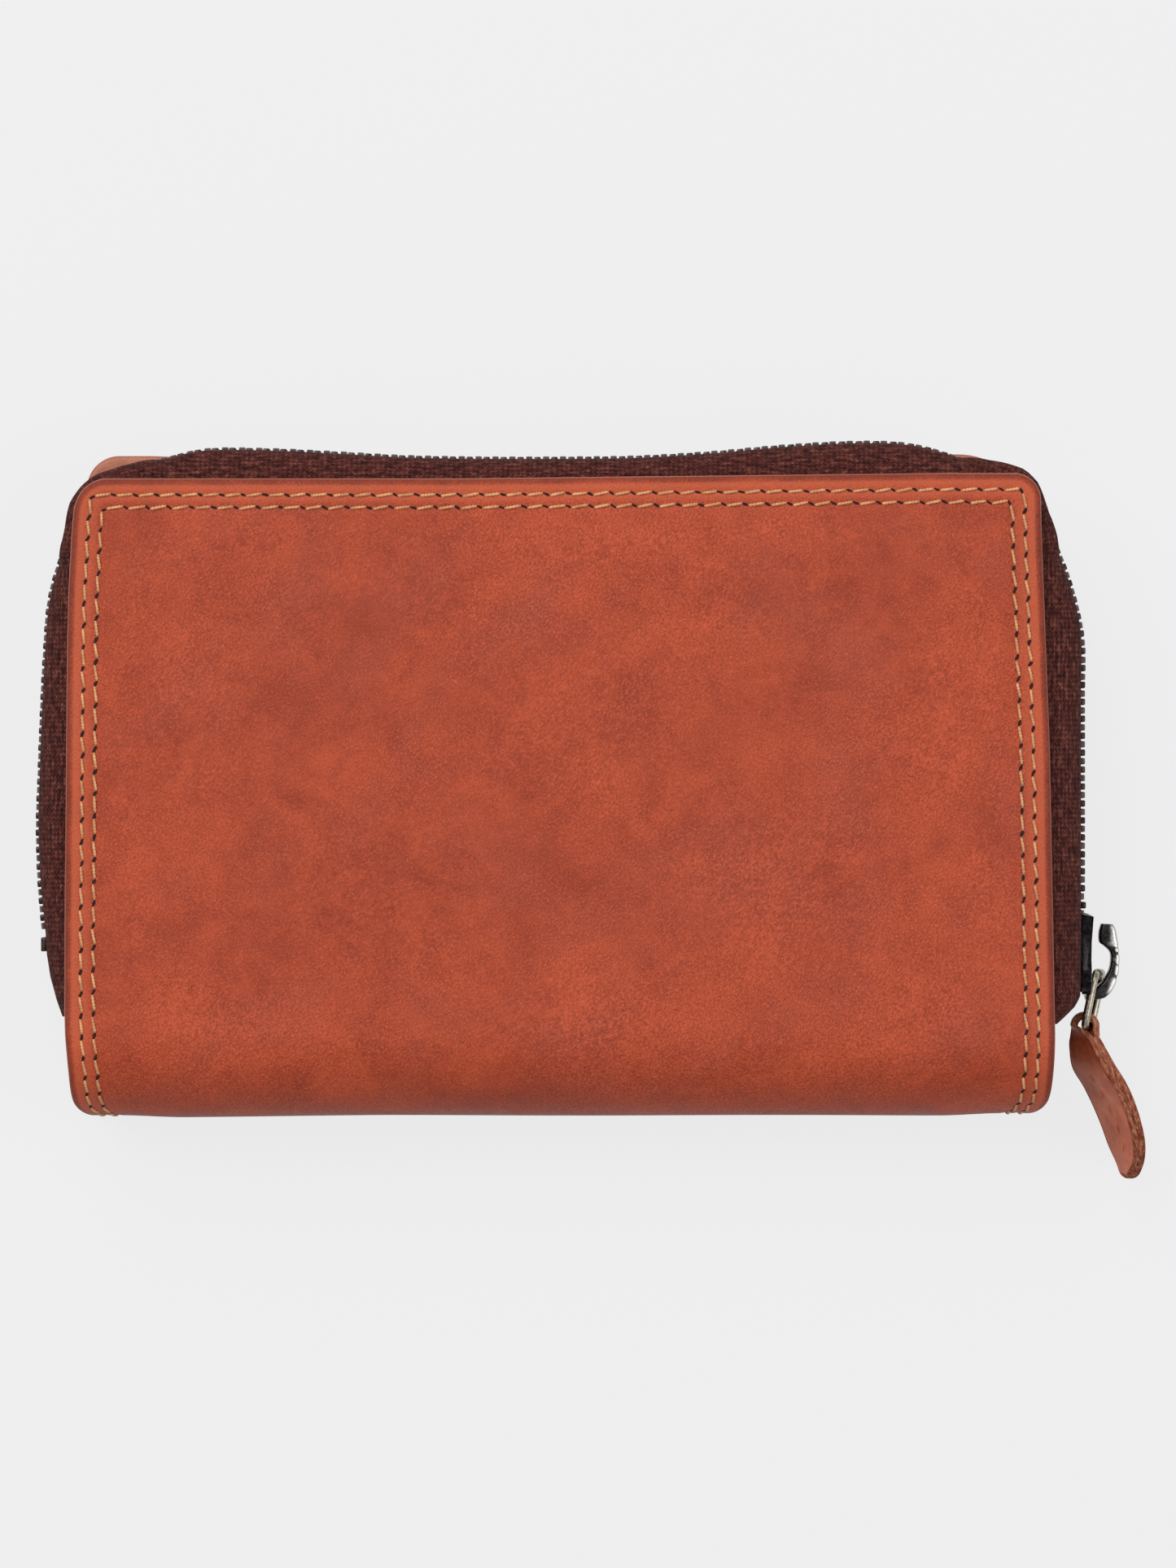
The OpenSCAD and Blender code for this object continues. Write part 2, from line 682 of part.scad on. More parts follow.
// ---- side gussets --------------------------------------------------------
// a strip folded inwards between the cover and the coin pocket
module gusset() {
    x0 = coin_w / 2 - 0.5;
    x1 = x0 - gusset_d;
    z0 = lining_z;
    z1 = coin_z;
    zm = (z0 + z1) / 2;
    t = gusset_t;
    color(tan_lining)
    translate([0, fold_y + 1 + gusset_h, 0])
    rotate([90, 0, 0])
    linear_extrude(gusset_h)
    polygon([
        [x0, z0], [x0, z0 + t], [x1 + 1.2, zm], [x0, z1 - t], [x0, z1],
        [x1 + 0.6, zm + t], [x1, zm], [x1 + 0.6, zm - t]
    ]);
}
module side_gusset_right_front() { gusset(); }
module side_gusset_right_back() { to_back() gusset(); }
module side_gusset_left_front() { mirror([1, 0, 0]) gusset(); }
module side_gusset_left_back() { mirror([1, 0, 0]) to_back() gusset(); }

front_panel();
front_lining();
front_card_slot(1);  // front_card_slot_1
front_card_slot(2);  // front_card_slot_2
front_card_slot(3);  // front_card_slot_3
front_card_slot(4);  // front_card_slot_4
front_zip_tape();
front_teeth(-1);  // front_zip_teeth_left
front_teeth(0);  // front_zip_teeth_top
front_teeth(1);  // front_zip_teeth_right
spine_leather();
spine_lining();
coin_pocket_front();
coin_pocket_back();
coin_pocket_gusset();
coin_zip_tape_front();
coin_zip_tape_back();
coin_zip_teeth();
coin_zip_stops();
side_gusset_left_front();
side_gusset_left_back();
side_gusset_right_front();
side_gusset_right_back();
zip_tail_left_front();
zip_tail_left_back();
zip_tail_right_front();
zip_tail_right_back();
zip_end_teeth();
zip_bottom_stop();
zip_top_stops();
back_panel();
back_lining();
back_card_slot(1);  // back_card_slot_1
back_card_slot(2);  // back_card_slot_2
back_card_slot(3);  // back_card_slot_3
back_card_slot(4);  // back_card_slot_4
back_zip_tape();
back_teeth(-1);  // back_zip_teeth_left
back_teeth(0);  // back_zip_teeth_top
back_teeth(1);  // back_zip_teeth_right
slider_body();
slider_crown();
pull_link();
pull_tab();
coin_slider();
coin_pull();
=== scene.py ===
# %% [markdown]
# # A zip-around leather wallet
# The wallet lies on its front cover and we look down on its plain back cover. Two stiff leather covers
# are joined by a rounded spine, a metal zip closes the other three sides, and a slider with a wire link
# and a leather tab hangs at the lower right. The engineering model is loaded first and never moved.

# %% Load the frame
import json
import math

import bmesh
import bpy
import numpy as np
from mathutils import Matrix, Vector

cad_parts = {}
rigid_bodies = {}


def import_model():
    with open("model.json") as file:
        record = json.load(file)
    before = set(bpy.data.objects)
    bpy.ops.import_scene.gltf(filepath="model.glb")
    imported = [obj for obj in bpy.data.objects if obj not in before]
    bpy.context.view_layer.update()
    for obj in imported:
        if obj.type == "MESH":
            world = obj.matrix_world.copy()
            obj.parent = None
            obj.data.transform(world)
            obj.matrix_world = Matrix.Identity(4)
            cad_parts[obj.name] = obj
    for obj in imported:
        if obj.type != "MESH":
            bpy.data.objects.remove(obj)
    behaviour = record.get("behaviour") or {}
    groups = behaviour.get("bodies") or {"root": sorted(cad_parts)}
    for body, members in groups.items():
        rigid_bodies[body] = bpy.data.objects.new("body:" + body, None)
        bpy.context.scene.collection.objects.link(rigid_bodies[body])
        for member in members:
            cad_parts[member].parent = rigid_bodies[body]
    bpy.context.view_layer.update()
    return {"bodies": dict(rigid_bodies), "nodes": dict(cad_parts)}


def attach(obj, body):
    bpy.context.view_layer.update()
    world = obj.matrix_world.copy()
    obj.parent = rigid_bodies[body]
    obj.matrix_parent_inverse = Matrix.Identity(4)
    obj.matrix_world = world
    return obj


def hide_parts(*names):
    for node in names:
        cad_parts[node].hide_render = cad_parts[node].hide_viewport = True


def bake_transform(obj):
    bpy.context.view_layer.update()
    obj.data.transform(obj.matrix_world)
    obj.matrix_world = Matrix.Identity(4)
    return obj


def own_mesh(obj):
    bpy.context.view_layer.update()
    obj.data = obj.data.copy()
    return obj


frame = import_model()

scene = bpy.context.scene
nodes = frame["nodes"]
MM = 0.001

# %% [markdown]
# ## Sizes
# All sizes are in millimetres and match the engineering model. X runs across the covers, Y from the
# spine to the top edge, and Z up through the thickness. Blender itself works in metres, so every helper
# that makes a mesh multiplies by MM at the end. That keeps the numbers as a maker would say them.

# %% Sizes of the wallet
HALF_W = 70.9          # half the width at the fold
TAPER = 1.5            # how much each side draws in at the top
FOLD_Y = -36.0         # where the flat covers turn into the spine
BACK_TOP = 43.5        # top edge of the back cover, which lies uppermost
FRONT_TOP = 47.5       # the front cover is a little taller
THICK = 24.0
MID = THICK / 2
LEATHER = 1.5
print("covers", 2 * HALF_W, "mm wide, wallet", THICK, "mm thick")

# %% [markdown]
# ## Camera and studio
# A straight-down camera, far enough away that the thickness hardly shows. The frame is a portrait
# 1445 x 1927, so the lens angle is set for its height. An orthographic camera would be simpler, but it
# would hide the front cover's corners, which show because the lens sees a little round the edges.

# %% Camera
cam_data = bpy.data.cameras.new("studio_camera")
camera = bpy.data.objects.new("studio_camera", cam_data)
scene.collection.objects.link(camera)
CAM_X, CAM_Y, CAM_DIST = 4.07, -0.3, 850.0
PIXEL = 0.1163         # mm on the back cover for each rendered pixel
camera.location = (CAM_X * MM, CAM_Y * MM, (THICK + CAM_DIST) * MM)
cam_data.sensor_fit = "VERTICAL"
cam_data.sensor_height = 36
VIEW_H = 1927 * PIXEL
cam_data.angle = 2 * math.atan(VIEW_H / 2 / CAM_DIST)
cam_data.clip_start = 0.01
cam_data.clip_end = 50
scene.camera = camera
print("camera sees", round(VIEW_H, 1), "mm of height at the back cover")

# %% [markdown]
# ## Node helpers
# Materials here are built from nodes. These small helpers add a node, join sockets and do sums, which
# keeps each recipe short enough to read as a recipe.

# %% Helpers for node recipes
class Recipe:
    """A material under construction: its node tree and its main shader."""

    def __init__(self, name):
        self.mat = bpy.data.materials.new(name)
        self.mat.use_nodes = True
        self.tree = self.mat.node_tree
        self.shader = self.tree.nodes["Principled BSDF"]

    def add(self, kind, **settings):
        node = self.tree.nodes.new(kind)
        for key, value in settings.items():
            if key in node.inputs.keys():
                node.inputs[key].default_value = value
            else:
                setattr(node, key, value)
        return node

    def join(self, out, socket):
        self.tree.links.new(out, socket)

    def surface(self, **inputs):
        """set inputs of the main shader, or join them; a name has _ for each space"""
        for name, value in inputs.items():
            socket = self.shader.inputs[name.replace("_", " ")]
            if isinstance(value, (int, float, tuple)):
                socket.default_value = value
            else:
                self.join(value, socket)

    def sum(self, kind, a, b=0.0, c=None):
        node = self.add("ShaderNodeMath", operation=kind)
        for slot, value in zip(node.inputs, (a, b, c)):
            if value is None:
                continue
            if isinstance(value, (int, float)):
                slot.default_value = value
            else:
                self.join(value, slot)
        return node.outputs[0]

    def places(self):
        return self.add("ShaderNodeTexCoord").outputs["Object"]

    def noise(self, scale, detail=3.0, rough=0.55, where=None, distortion=0.0):
        settings = {"Scale": scale, "Detail": detail, "Roughness": rough, "Distortion": distortion}
        node = self.add("ShaderNodeTexNoise", **settings)
        self.join(where or self.places(), node.inputs["Vector"])
        return node.outputs["Fac"]

    def ramp(self, value, stops):
        node = self.add("ShaderNodeValToRGB")
        bar = node.color_ramp.elements
        while len(bar) < len(stops):
            bar.new(0.5)
        for element, (spot, colour) in zip(bar, stops):
            element.position = spot
            element.color = (*colour, 1) if isinstance(colour, tuple) else (colour, colour, colour, 1)
        self.join(value, node.inputs[0])
        return node.outputs[0]

    def mix(self, share, a, b, kind="MIX"):
        node = self.add("ShaderNodeMix", data_type="RGBA", blend_type=kind)
        for slot, value in ((0, share), (6, a), (7, b)):
            if isinstance(value, tuple):
                node.inputs[slot].default_value = (*value, 1)
            elif isinstance(value, (int, float)):
                node.inputs[slot].default_value = value
            else:
                self.join(value, node.inputs[slot])
        return node.outputs[2]

    def attribute(self, name):
        return self.add("ShaderNodeAttribute", attribute_name=name)

    def bump(self, height, strength, distance, normal=None):
        node = self.add("ShaderNodeBump", Strength=strength, Distance=distance)
        self.join(height, node.inputs["Height"])
        if normal:
            self.join(normal, node.inputs["Normal"])
        return node.outputs[0]


print("node helpers are ready")

# %% [markdown]
# ## Floor and light
# A pale seamless floor. A plain white plane would turn grey away from the lamps, so part of it glows, but
# only for rays that a camera, a mirror or glass sends: the glow lights nothing. The other part is plain
# diffuse paper, and that keeps a soft shadow under the wallet. One big soft lamp stands at the upper left
# and a weak one fills.

# %% Floor
BACKGROUND, GLOW_SHARE, FLOOR_SIDE = 0.98, 0.80, 9     # grey level, part that glows, half its side in metres
floor_mesh = bpy.data.meshes.new("floor")
floor_corners = [(FLOOR_SIDE * x, FLOOR_SIDE * y, 0) for x, y in ((-1, -1), (1, -1), (1, 1), (-1, 1))]
floor_mesh.from_pydata(floor_corners, [], [(0, 1, 2, 3)])
floor = bpy.data.objects.new("floor", floor_mesh)
scene.collection.objects.link(floor)
floor.location.z = -0.0002

paper = Recipe("studio_paper")
paper.surface(Base_Color=(0.40, 0.40, 0.40, 1), Roughness=0.9, Specular_IOR_Level=0.0)
glow = paper.add("ShaderNodeEmission", Color=(BACKGROUND, BACKGROUND, BACKGROUND, 1), Strength=1.0)
rays = paper.add("ShaderNodeLightPath")
seen = paper.sum("MAXIMUM", rays.outputs["Is Camera Ray"], rays.outputs["Is Glossy Ray"])
seen = paper.sum("MAXIMUM", seen, rays.outputs["Is Transmission Ray"])
share = paper.sum("MULTIPLY", seen, GLOW_SHARE)
blend_node = paper.add("ShaderNodeMixShader")
paper.join(share, blend_node.inputs[0])
paper.join(paper.shader.outputs[0], blend_node.inputs[1])
paper.join(glow.outputs[0], blend_node.inputs[2])
paper.join(blend_node.outputs[0], paper.tree.nodes["Material Output"].inputs["Surface"])
floor_mesh.materials.append(paper.mat)
print("floor is", 2 * FLOOR_SIDE, "m wide")

# %% Lamps and world
def soft_lamp(name, place, size, watts):
    data = bpy.data.lights.new(name, "AREA")
    data.shape = "RECTANGLE"
    data.size, data.size_y = size
    data.energy = watts
    lamp = bpy.data.objects.new(name, data)
    scene.collection.objects.link(lamp)
    lamp.location = place
    lamp.rotation_euler = (Vector((0, 0, 0.01)) - Vector(place)).to_track_quat("-Z", "Y").to_euler()
    return lamp


soft_lamp("key_softbox", (-0.55, 0.75, 1.15), (1.3, 1.0), 15.0)
soft_lamp("fill_softbox", (0.9, -0.1, 1.1), (1.0, 1.0), 5.0)

world = bpy.data.worlds.new("studio")
scene.world = world
world.use_nodes = True
sky = world.node_tree.nodes["Background"]
sky.inputs["Color"].default_value = (0.93, 0.95, 1.0, 1)
sky.inputs["Strength"].default_value = 0.42
scene.view_settings.view_transform = "Standard"
print("studio has two soft lamps and a pale floor")

# %% [markdown]
# ## Cover leather
# The real leather is a waxed cognac hide: a fine crinkled grain, cloudy darker patches, tiny light scuffs
# and burnished edges. A picture of leather would be the quick way, but it repeats and blurs up close. Noise
# does neither, so the recipe layers three sizes of noise for the cloudy colour and a fourth, very fine and
# stretched along one slanting direction, for the grain, whose valleys get painted shade and whose ridges a
# painted highlight on top of their own tone. Numbers stored on each point tell the recipe where it is:
# edge_mm, the distance from the edge, darkens the turned rim and puts a painted highlight on the very edge
# and a lighter painted band between the edge and the stitches, painted_ridge_shade paints shade along the
# outermost line of the fold, and inside turns the leather into pale suede on its back.

# %% Cover leather recipe
def leather_recipe(name, pale, deep, rosy, grain=1.0, rim=True):
    r = Recipe(name)
    where = r.places()
    lean = r.add("ShaderNodeMapping")
    r.join(where, lean.inputs["Vector"])
    lean.vector_type = "TEXTURE"
    lean.inputs["Rotation"].default_value = (0, 0, math.radians(55))
    lean.inputs["Scale"].default_value = (1.5, 1.0, 1.0)
    cloud = r.noise(30, 4, 0.6, where, 0.5)
    patch = r.noise(120, 4, 0.62, where, 0.8)
    mottle = r.noise(430, 3, 0.65, where)
    crinkle = r.noise(4000, 3, 0.55, lean.outputs[0], 0.3)
    small_clouds = r.sum("MULTIPLY_ADD", patch, 0.40, r.sum("MULTIPLY", mottle, 0.26))
    tone = r.sum("MULTIPLY_ADD", cloud, 0.34, small_clouds)
    middle = tuple(0.5 * (a + b) for a, b in zip(pale, deep))
    base = r.ramp(tone, [(0.38, deep), (0.50, middle), (0.62, pale)])
    blush = r.ramp(r.noise(70, 3, 0.55, lean.outputs[0]), [(0.48, 0.0), (0.68, 0.50)])
    base = r.mix(blush, base, rosy)
    strength = r.ramp(cloud, [(0.35, 0.45), (0.60, 1.0)])
    # grain tone, with painted shade in its valleys and a painted highlight on its ridges
    grain_valley_shade = r.sum("MULTIPLY", r.ramp(crinkle, [(0.36, 0.44 * grain), (0.47, 0.0)]), strength)
    base = r.mix(grain_valley_shade, base, tuple(0.45 * c for c in deep))
    grain_ridge_highlight = r.sum("MULTIPLY", r.ramp(crinkle, [(0.52, 0.0), (0.64, 0.62 * grain)]), strength)
    base = r.mix(grain_ridge_highlight, base, tuple(min(1, 1.26 * c + 0.02) for c in pale))
    scuff = r.ramp(r.noise(330, 5, 0.78, where, 1.5), [(0.67, 0.0), (0.74, 0.5)])
    base = r.mix(scuff, base, tuple(min(1, 1.3 * c + 0.08) for c in pale))
    if rim:
        edge = r.sum("DIVIDE", r.attribute("edge_mm").outputs["Fac"], 10.0)
        wave = r.sum("MULTIPLY_ADD", r.sum("SUBTRACT", patch, 0.5), 0.12, edge)
        burnt = r.ramp(wave, [(0.025, 0.62), (0.060, 0.50), (0.10, 0.18), (0.15, 0.0)])
        base = r.mix(burnt, base, tuple(0.36 * c + 0.006 for c in deep))
        # painted highlight: a lighter band on the border between the edge and the stitches
        border_highlight = r.ramp(edge, [(0.08, 0.0), (0.12, 0.6), (0.28, 0.45), (0.42, 0.0)])
        base = r.mix(border_highlight, base, (0.63, 0.125, 0.050))
        # painted highlight: a thin light pink line along the very edge of the rim
        worn = r.ramp(edge, [(0.002, 0.75), (0.012, 0.5), (0.022, 0.0)])
        base = r.mix(worn, base, (0.56, 0.22, 0.15))
        # painted shade: darkens the outermost line of the fold, where the spine turns away underneath
        uneven = r.ramp(patch, [(0.3, 0.75), (0.6, 1.0)])
        painted_ridge_shade = r.sum("MULTIPLY", r.attribute("painted_ridge_shade").outputs["Fac"], uneven)
        base = r.mix(painted_ridge_shade, base, (0.035, 0.011, 0.009))
        flesh = r.attribute("inside").outputs["Fac"]
        suede = r.ramp(mottle, [(0.3, (0.44, 0.155, 0.090)), (0.7, (0.62, 0.25, 0.155))])
        base = r.mix(flesh, base, suede)
    pores = r.ramp(r.noise(4200, 1, 0.5, where), [(0.35, 0.0), (0.48, 1.0)])
    soft_relief = r.sum("MULTIPLY_ADD", pores, 0.12, r.sum("MULTIPLY", mottle, 1.0))
    height = r.sum("MULTIPLY_ADD", crinkle, 1.4, soft_relief)
    wax = r.sum("MULTIPLY_ADD", mottle, 0.5, r.sum("MULTIPLY", cloud, 0.5))
    r.surface(Base_Color=base, Normal=r.bump(height, 0.8 * grain, 0.00015),
              Roughness=r.ramp(wax, [(0.35, 0.42), (0.65, 0.56)]), Specular_IOR_Level=0.24)
    return r.mat


# each leather: its pale, its deep and its rosy colour
COGNAC = (0.520, 0.079, 0.028), (0.325, 0.041, 0.013), (0.345, 0.059, 0.030)
TAN = (0.34, 0.135, 0.070), (0.24, 0.085, 0.042), (0.26, 0.10, 0.06)
cover_leather = leather_recipe("cover_leather", *COGNAC)
lining_leather = leather_recipe("lining_leather", *TAN, grain=0.6, rim=False)
print("mixed the cover and lining leathers")

# %% [markdown]
# ## Helpers that turn points into pieces
# Most pieces here are thin, bent and sewn, which is hard to push into shape by hand. So each one is built
# as a list of points in millimetres and the faces between them: a grid for a sheet, a ring after a ring for
# a tube. One helper makes the object and gives it its material, another stores a number on each point, and
# a third welds the points that lie on one spot.

# %% Piece helpers
def make_piece(name, points, faces, material):
    """a smooth object from points in mm"""
    mesh = bpy.data.meshes.new(name)
    mesh.from_pydata([tuple(p) for p in np.asarray(points) * MM], [], faces)
    mesh.materials.append(material)
    mesh.update()
    mesh.shade_smooth()
    obj = bpy.data.objects.new(name, mesh)
    scene.collection.objects.link(obj)
    return obj


def store(obj, name, values):
    """keep one number per point, for the material to read"""
    layer = obj.data.attributes.new(name, "FLOAT", "POINT")
    layer.data.foreach_set("value", np.asarray(values, np.float32))


def weld(mesh, dist=1e-7, also=None):
    """join the points that lie on one spot"""
    loose = bmesh.new()
    loose.from_mesh(mesh)
    bmesh.ops.remove_doubles(loose, verts=loose.verts, dist=dist)
    if also:
        also(loose)
    loose.to_mesh(mesh)
    loose.free()


def grid_faces(rows, cols, start=0, closed=False, flip=False):
    """faces of a grid of points, which may run round and meet itself"""
    faces = []
    for i in range(rows - 1):
        for j in range(cols if closed else cols - 1):
            a, b = start + i * cols + j, start + i * cols + (j + 1) % cols
            quad = (a, b, b + cols, a + cols)
            faces.append(quad[::-1] if flip else quad)
    return faces


def tube_faces(rows, cols, start=0):
    """faces of a closed tube with flat ends"""
    faces = grid_faces(rows, cols, start, closed=True)
    faces.append(tuple(range(start, start + cols))[::-1])
    faces.append(tuple(range(start + (rows - 1) * cols, start + rows * cols)))
    return faces


print("piece helpers are ready")

# %% [markdown]
# ## The folded cover
# One sheet of leather makes both covers and the spine. A sheet can only bend between two bodies here, so
# it is made as two halves that meet on the outermost line of the fold, where neither of them bends.
# Each half is a grid of points, dense at the rim, where it rolls over to the inside, and along the two
# stitch lines, where the thread pulls it down. A plane with a Solidify and a Bevel modifier would be less
# work, but it can't roll its rim, dip along a seam and lean out of square all at once.

# %% Where the sheet lies
BACK_CORNERS, FRONT_CORNERS = (4.7, 3.8), (4.7, 11.0)   # radius of the left and the right corner
RIM_STEPS = [0, 0.1, 0.25, 0.45, 0.7, 1.0, 1.35, 1.7, 2.05, 2.4, 2.75, 3.3, 3.85, 4.2, 4.55, 5.1, 5.9,
             7.0, 8.6]
RIM = RIM_STEPS[-1]


def sheet_rows(top, corners, seam_step=0.15):
    """distances along the sheet from the top edge: fine at the corners, the rim and the bend"""
    flat = top - FOLD_Y
    angles = (90, 84, 76, 68, 60, 51, 42, 32, 22, 11, 0)
    rows = set(round(r * (1 - math.sin(math.radians(a))), 4) for r in set(corners) for a in angles)
    rows |= {0.12, 0.3, 0.55, 0.85, 1.2, 1.6, 2.0, 2.4, 2.8, 3.3, 4.2, 4.6, 5.2, 6.0, 7.2, RIM}
    rows |= set(np.round(np.linspace(max(12.0, max(corners) + 1), flat - 6, 30), 4))
    arc = math.pi / 2 * MID
    rows |= set(np.round(np.linspace(flat - 5, flat + arc - 0.9, 24), 4))
    rows |= {round(flat + arc - k * seam_step, 4) for k in (0, 1, 2, 3.5)}
    return sorted(rows)


def sheet_frame(v, top):
    """height y, depth z and outward normal at a distance v along the sheet of the back cover"""
    flat = top - FOLD_Y
    if v <= flat:
        return top - v, THICK, 0.0, 1.0
    t = (v - flat) / MID
    return FOLD_Y - MID * math.sin(t), MID + MID * math.cos(t), -math.sin(t), math.cos(t)


def sheet_half_width(v, top, corner=0.0):
    """half the width at a distance v along the sheet: tapered, and drawn in a little round the fold"""
    flat = top - FOLD_Y
    if v <= flat:
        w = HALF_W - TAPER * (1 - v / flat)
        if v < corner:
            w += -corner + math.sqrt(max(corner ** 2 - (corner - v) ** 2, 0))
        return w
    s = math.sin((v - flat) / MID)
    return HALF_W - 0.5 * s ** 2 - 1.7 * s ** 14


def edge_distance(x, v, top, corners):
    """distance in mm of a spot on the sheet from its nearest edge"""
    corner = corners[0] if x < 0 else corners[1]
    dx, dy = sheet_half_width(v, top) - abs(x), v
    if dx < corner and dy < corner:
        return max(corner - math.hypot(corner - dx, corner - dy), 0)
    return max(min(dx, dy), 0)


print("the back half has", len(sheet_rows(BACK_TOP, BACK_CORNERS)), "rows of points")

# %% How the sheet departs from a flat board
ROLL = 0.75                    # radius of the turned rim
SEAMS = (2.4, 4.2)             # distance of the two stitch rows from the edge
SEAM_DIP, SEAM_BREADTH = 0.16, 0.42
PADDING, WAVES = 0.30, 0.10    # how far the middle of the back cover swells, and its unevenness


def share_of(value, start, end):
    """0 before start, 1 after end, and straight in between"""
    return min(max((value - start) / (end - start), 0), 1)


def sink(d, x, y, puff):
    """how far the outer face lies under its nominal place, from rim roll, seams and padding"""
    drop = ROLL - math.sqrt(max(ROLL ** 2 - (ROLL - d) ** 2, 0)) if d < ROLL else 0.0
    drop += sum(SEAM_DIP * math.exp(-((d - seam) / SEAM_BREADTH) ** 2) for seam in SEAMS)
    plump = share_of(d, 5.0, 14.0)
    drop -= puff * PADDING * plump * plump * (3 - 2 * plump)
    drop -= puff * WAVES * math.sin(x * 0.11 + 1.3) * math.sin(y * 0.13 + 0.4) * plump
    return drop


# (height, how far the left edge stands out of line there)
LEFT_SIDE = [(-46, .35), (-42, .42), (-39, .33), (-35.4, .12), (-32.5, 0), (-27.8, -.07), (-22.3, -.17),
             (-15.4, -.25), (-6.9, -.32), (0, -.40), (11, -.52), (21, -.60), (27, -.56), (33, -.35),
             (36.5, -.22), (40.2, .08)]


def out_of_square(x, y, mirrored):
    """a hand-cut cover isn't square: its top climbs to a corner, one side bows out, the other leans in"""
    high, left = share_of(y, 5, 35), share_of(x, 0, -62)
    sag = -0.30 * share_of(x, -25, -62) * share_of(y, -33, -46)
    bow = left * np.interp(y, *zip(*LEFT_SIDE))
    if mirrored:
        climb = 0.65 * share_of(x, 5, 55) + 0.40 * share_of(x, -48, -60)
        return bow * share_of(y, -32.5, -34), sag + high * climb
    return bow - 0.6 * high * share_of(x, 0, 60), sag + high * (0.78 * share_of(x, -14, 56) - 0.08)


print("left side is out of line by up to", max(abs(off) for _, off in LEFT_SIDE), "mm")

# %% Lay one half of the cover
# mm from the outermost line of the fold, and how much painted shade darkens it there
RIDGE_SHADE = [0, 1.0, 2.4, 5.0], [0.75, 0.62, 0.30, 0]


def half_cover(name, top, mirrored):
    """a sheet with an outer and an inner face; the front cover is the back one turned over"""
    corners = FRONT_CORNERS if mirrored else BACK_CORNERS
    rows = sheet_rows(top, corners)
    field, parts = HALF_W - RIM, 27
    half = [(field - k * field / parts) / field for k in range(1, parts)]
    outer, inner, edges = [], [], []
    for v in rows:
        y, z, ny, nz = sheet_frame(v, top)
        left, right = (sheet_half_width(v, top, corner) for corner in corners)
        xs = [right - e for e in RIM_STEPS] + [h * (right - RIM) for h in half] + [0.0]
        xs += [-h * (left - RIM) for h in reversed(half)] + [e - left for e in reversed(RIM_STEPS)]
        for x in xs:
            d = edge_distance(x, v, top, corners)
            drop = sink(d, x, y, 0.0 if mirrored else 1.0)
            back = LEATHER if d >= ROLL else ROLL + math.sqrt(max(ROLL ** 2 - (ROLL - d) ** 2, 0))
            if d == 0:
                drop = back = ROLL
            dx, dy = out_of_square(x, y, mirrored)
            outer.append((x + dx, y + dy - ny * drop, z - nz * drop))
            inner.append((x + dx, y + dy - ny * back, z - nz * back))
            edges.append(d)
    cols = len(xs)
    points = np.array(outer + inner)
    if mirrored:
        points[:, 2] = THICK - points[:, 2]
    n = len(outer)
    faces = grid_faces(len(rows), cols, 0, flip=not mirrored)
    faces += grid_faces(len(rows), cols, n, flip=mirrored)
    obj = make_piece(name, points, faces, cover_leather)
    store(obj, "edge_mm", edges + edges)
    store(obj, "inside", [0.0] * n + [min(d / 0.3, 1.0) for d in edges])
    # painted shade along the outermost line of the fold, for the leather recipe
    from_ridge = [abs(v - rows[-1]) for v in rows for _ in range(cols)]
    store(obj, "painted_ridge_shade", [float(np.interp(d, *RIDGE_SHADE)) for d in from_ridge] * 2)
    weld(obj.data)
    print(name, "has", len(obj.data.vertices), "points")
    return obj


# %% Make both halves
back_cover = half_cover("back_cover", BACK_TOP, False)
front_cover = half_cover("front_cover", FRONT_TOP - 0.05, True)
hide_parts("back_panel", "spine_leather")
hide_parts("front_panel", "spine_leather")


def bend_back(obj):
    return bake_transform(obj)


def bend_front(obj):
    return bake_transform(obj)


bend_back(back_cover)
bend_front(front_cover)

# %% [markdown]
# ## Stitches
# Two rows of twisted thread run 2.4 and 4.2 mm inside the edge, down both sides, along the top and round
# the fold. A bump map could draw them, but light catches real thread from the side, so each stitch is a
# short two-ply tube that rises out of one needle hole and dives into the next. A near-black fleck on every
# hole is painted shade for the depth of the hole. They lie on the same surface as the leather, round the fold
# too. Every straight run holds a whole number of stitches, because a maker ends a run in the corner.

# %% Materials of the thread and the needle holes
def thread_recipe(name, cloudy, dark, light, fluff, rough, sheen):
    r = Recipe(name)
    tone = r.ramp(r.noise(cloudy, 3, 0.6), [(0.35, dark), (0.65, light)])
    fluffy = r.bump(r.noise(fluff, 1), 0.3, 0.00005)
    r.surface(Base_Color=tone, Normal=fluffy, Roughness=rough, Sheen_Weight=sheen)
    return r.mat


waxed_thread = thread_recipe("stitch_thread", 700, (0.52, 0.215, 0.080), (0.80, 0.41, 0.18), 6000, 0.55, 0.2)

# the holes are near-black patches: painted shade for the depth of each hole
hole_look = Recipe("needle_hole")
painted_hole_shade = hole_look.ramp(hole_look.noise(900, 2),
                           [(0.3, (0.012, 0.003, 0.002)), (0.7, (0.035, 0.008, 0.005))])
hole_look.surface(Base_Color=painted_hole_shade, Roughness=0.95)
print("thread and needle holes are ready")

# %% One stitch and one needle hole
STITCH = 3.13            # from one needle hole to the next
THREAD = 0.20            # radius of the thread
RINGS, SIDES = 31, 7     # rings along one stitch, and points round it
LIFT, DIVE = 0.30, 0.14  # how high a stitch arches, and how deep its ends sit
TWIST_TURNS = 5.2        # half turns of the two plies in one stitch


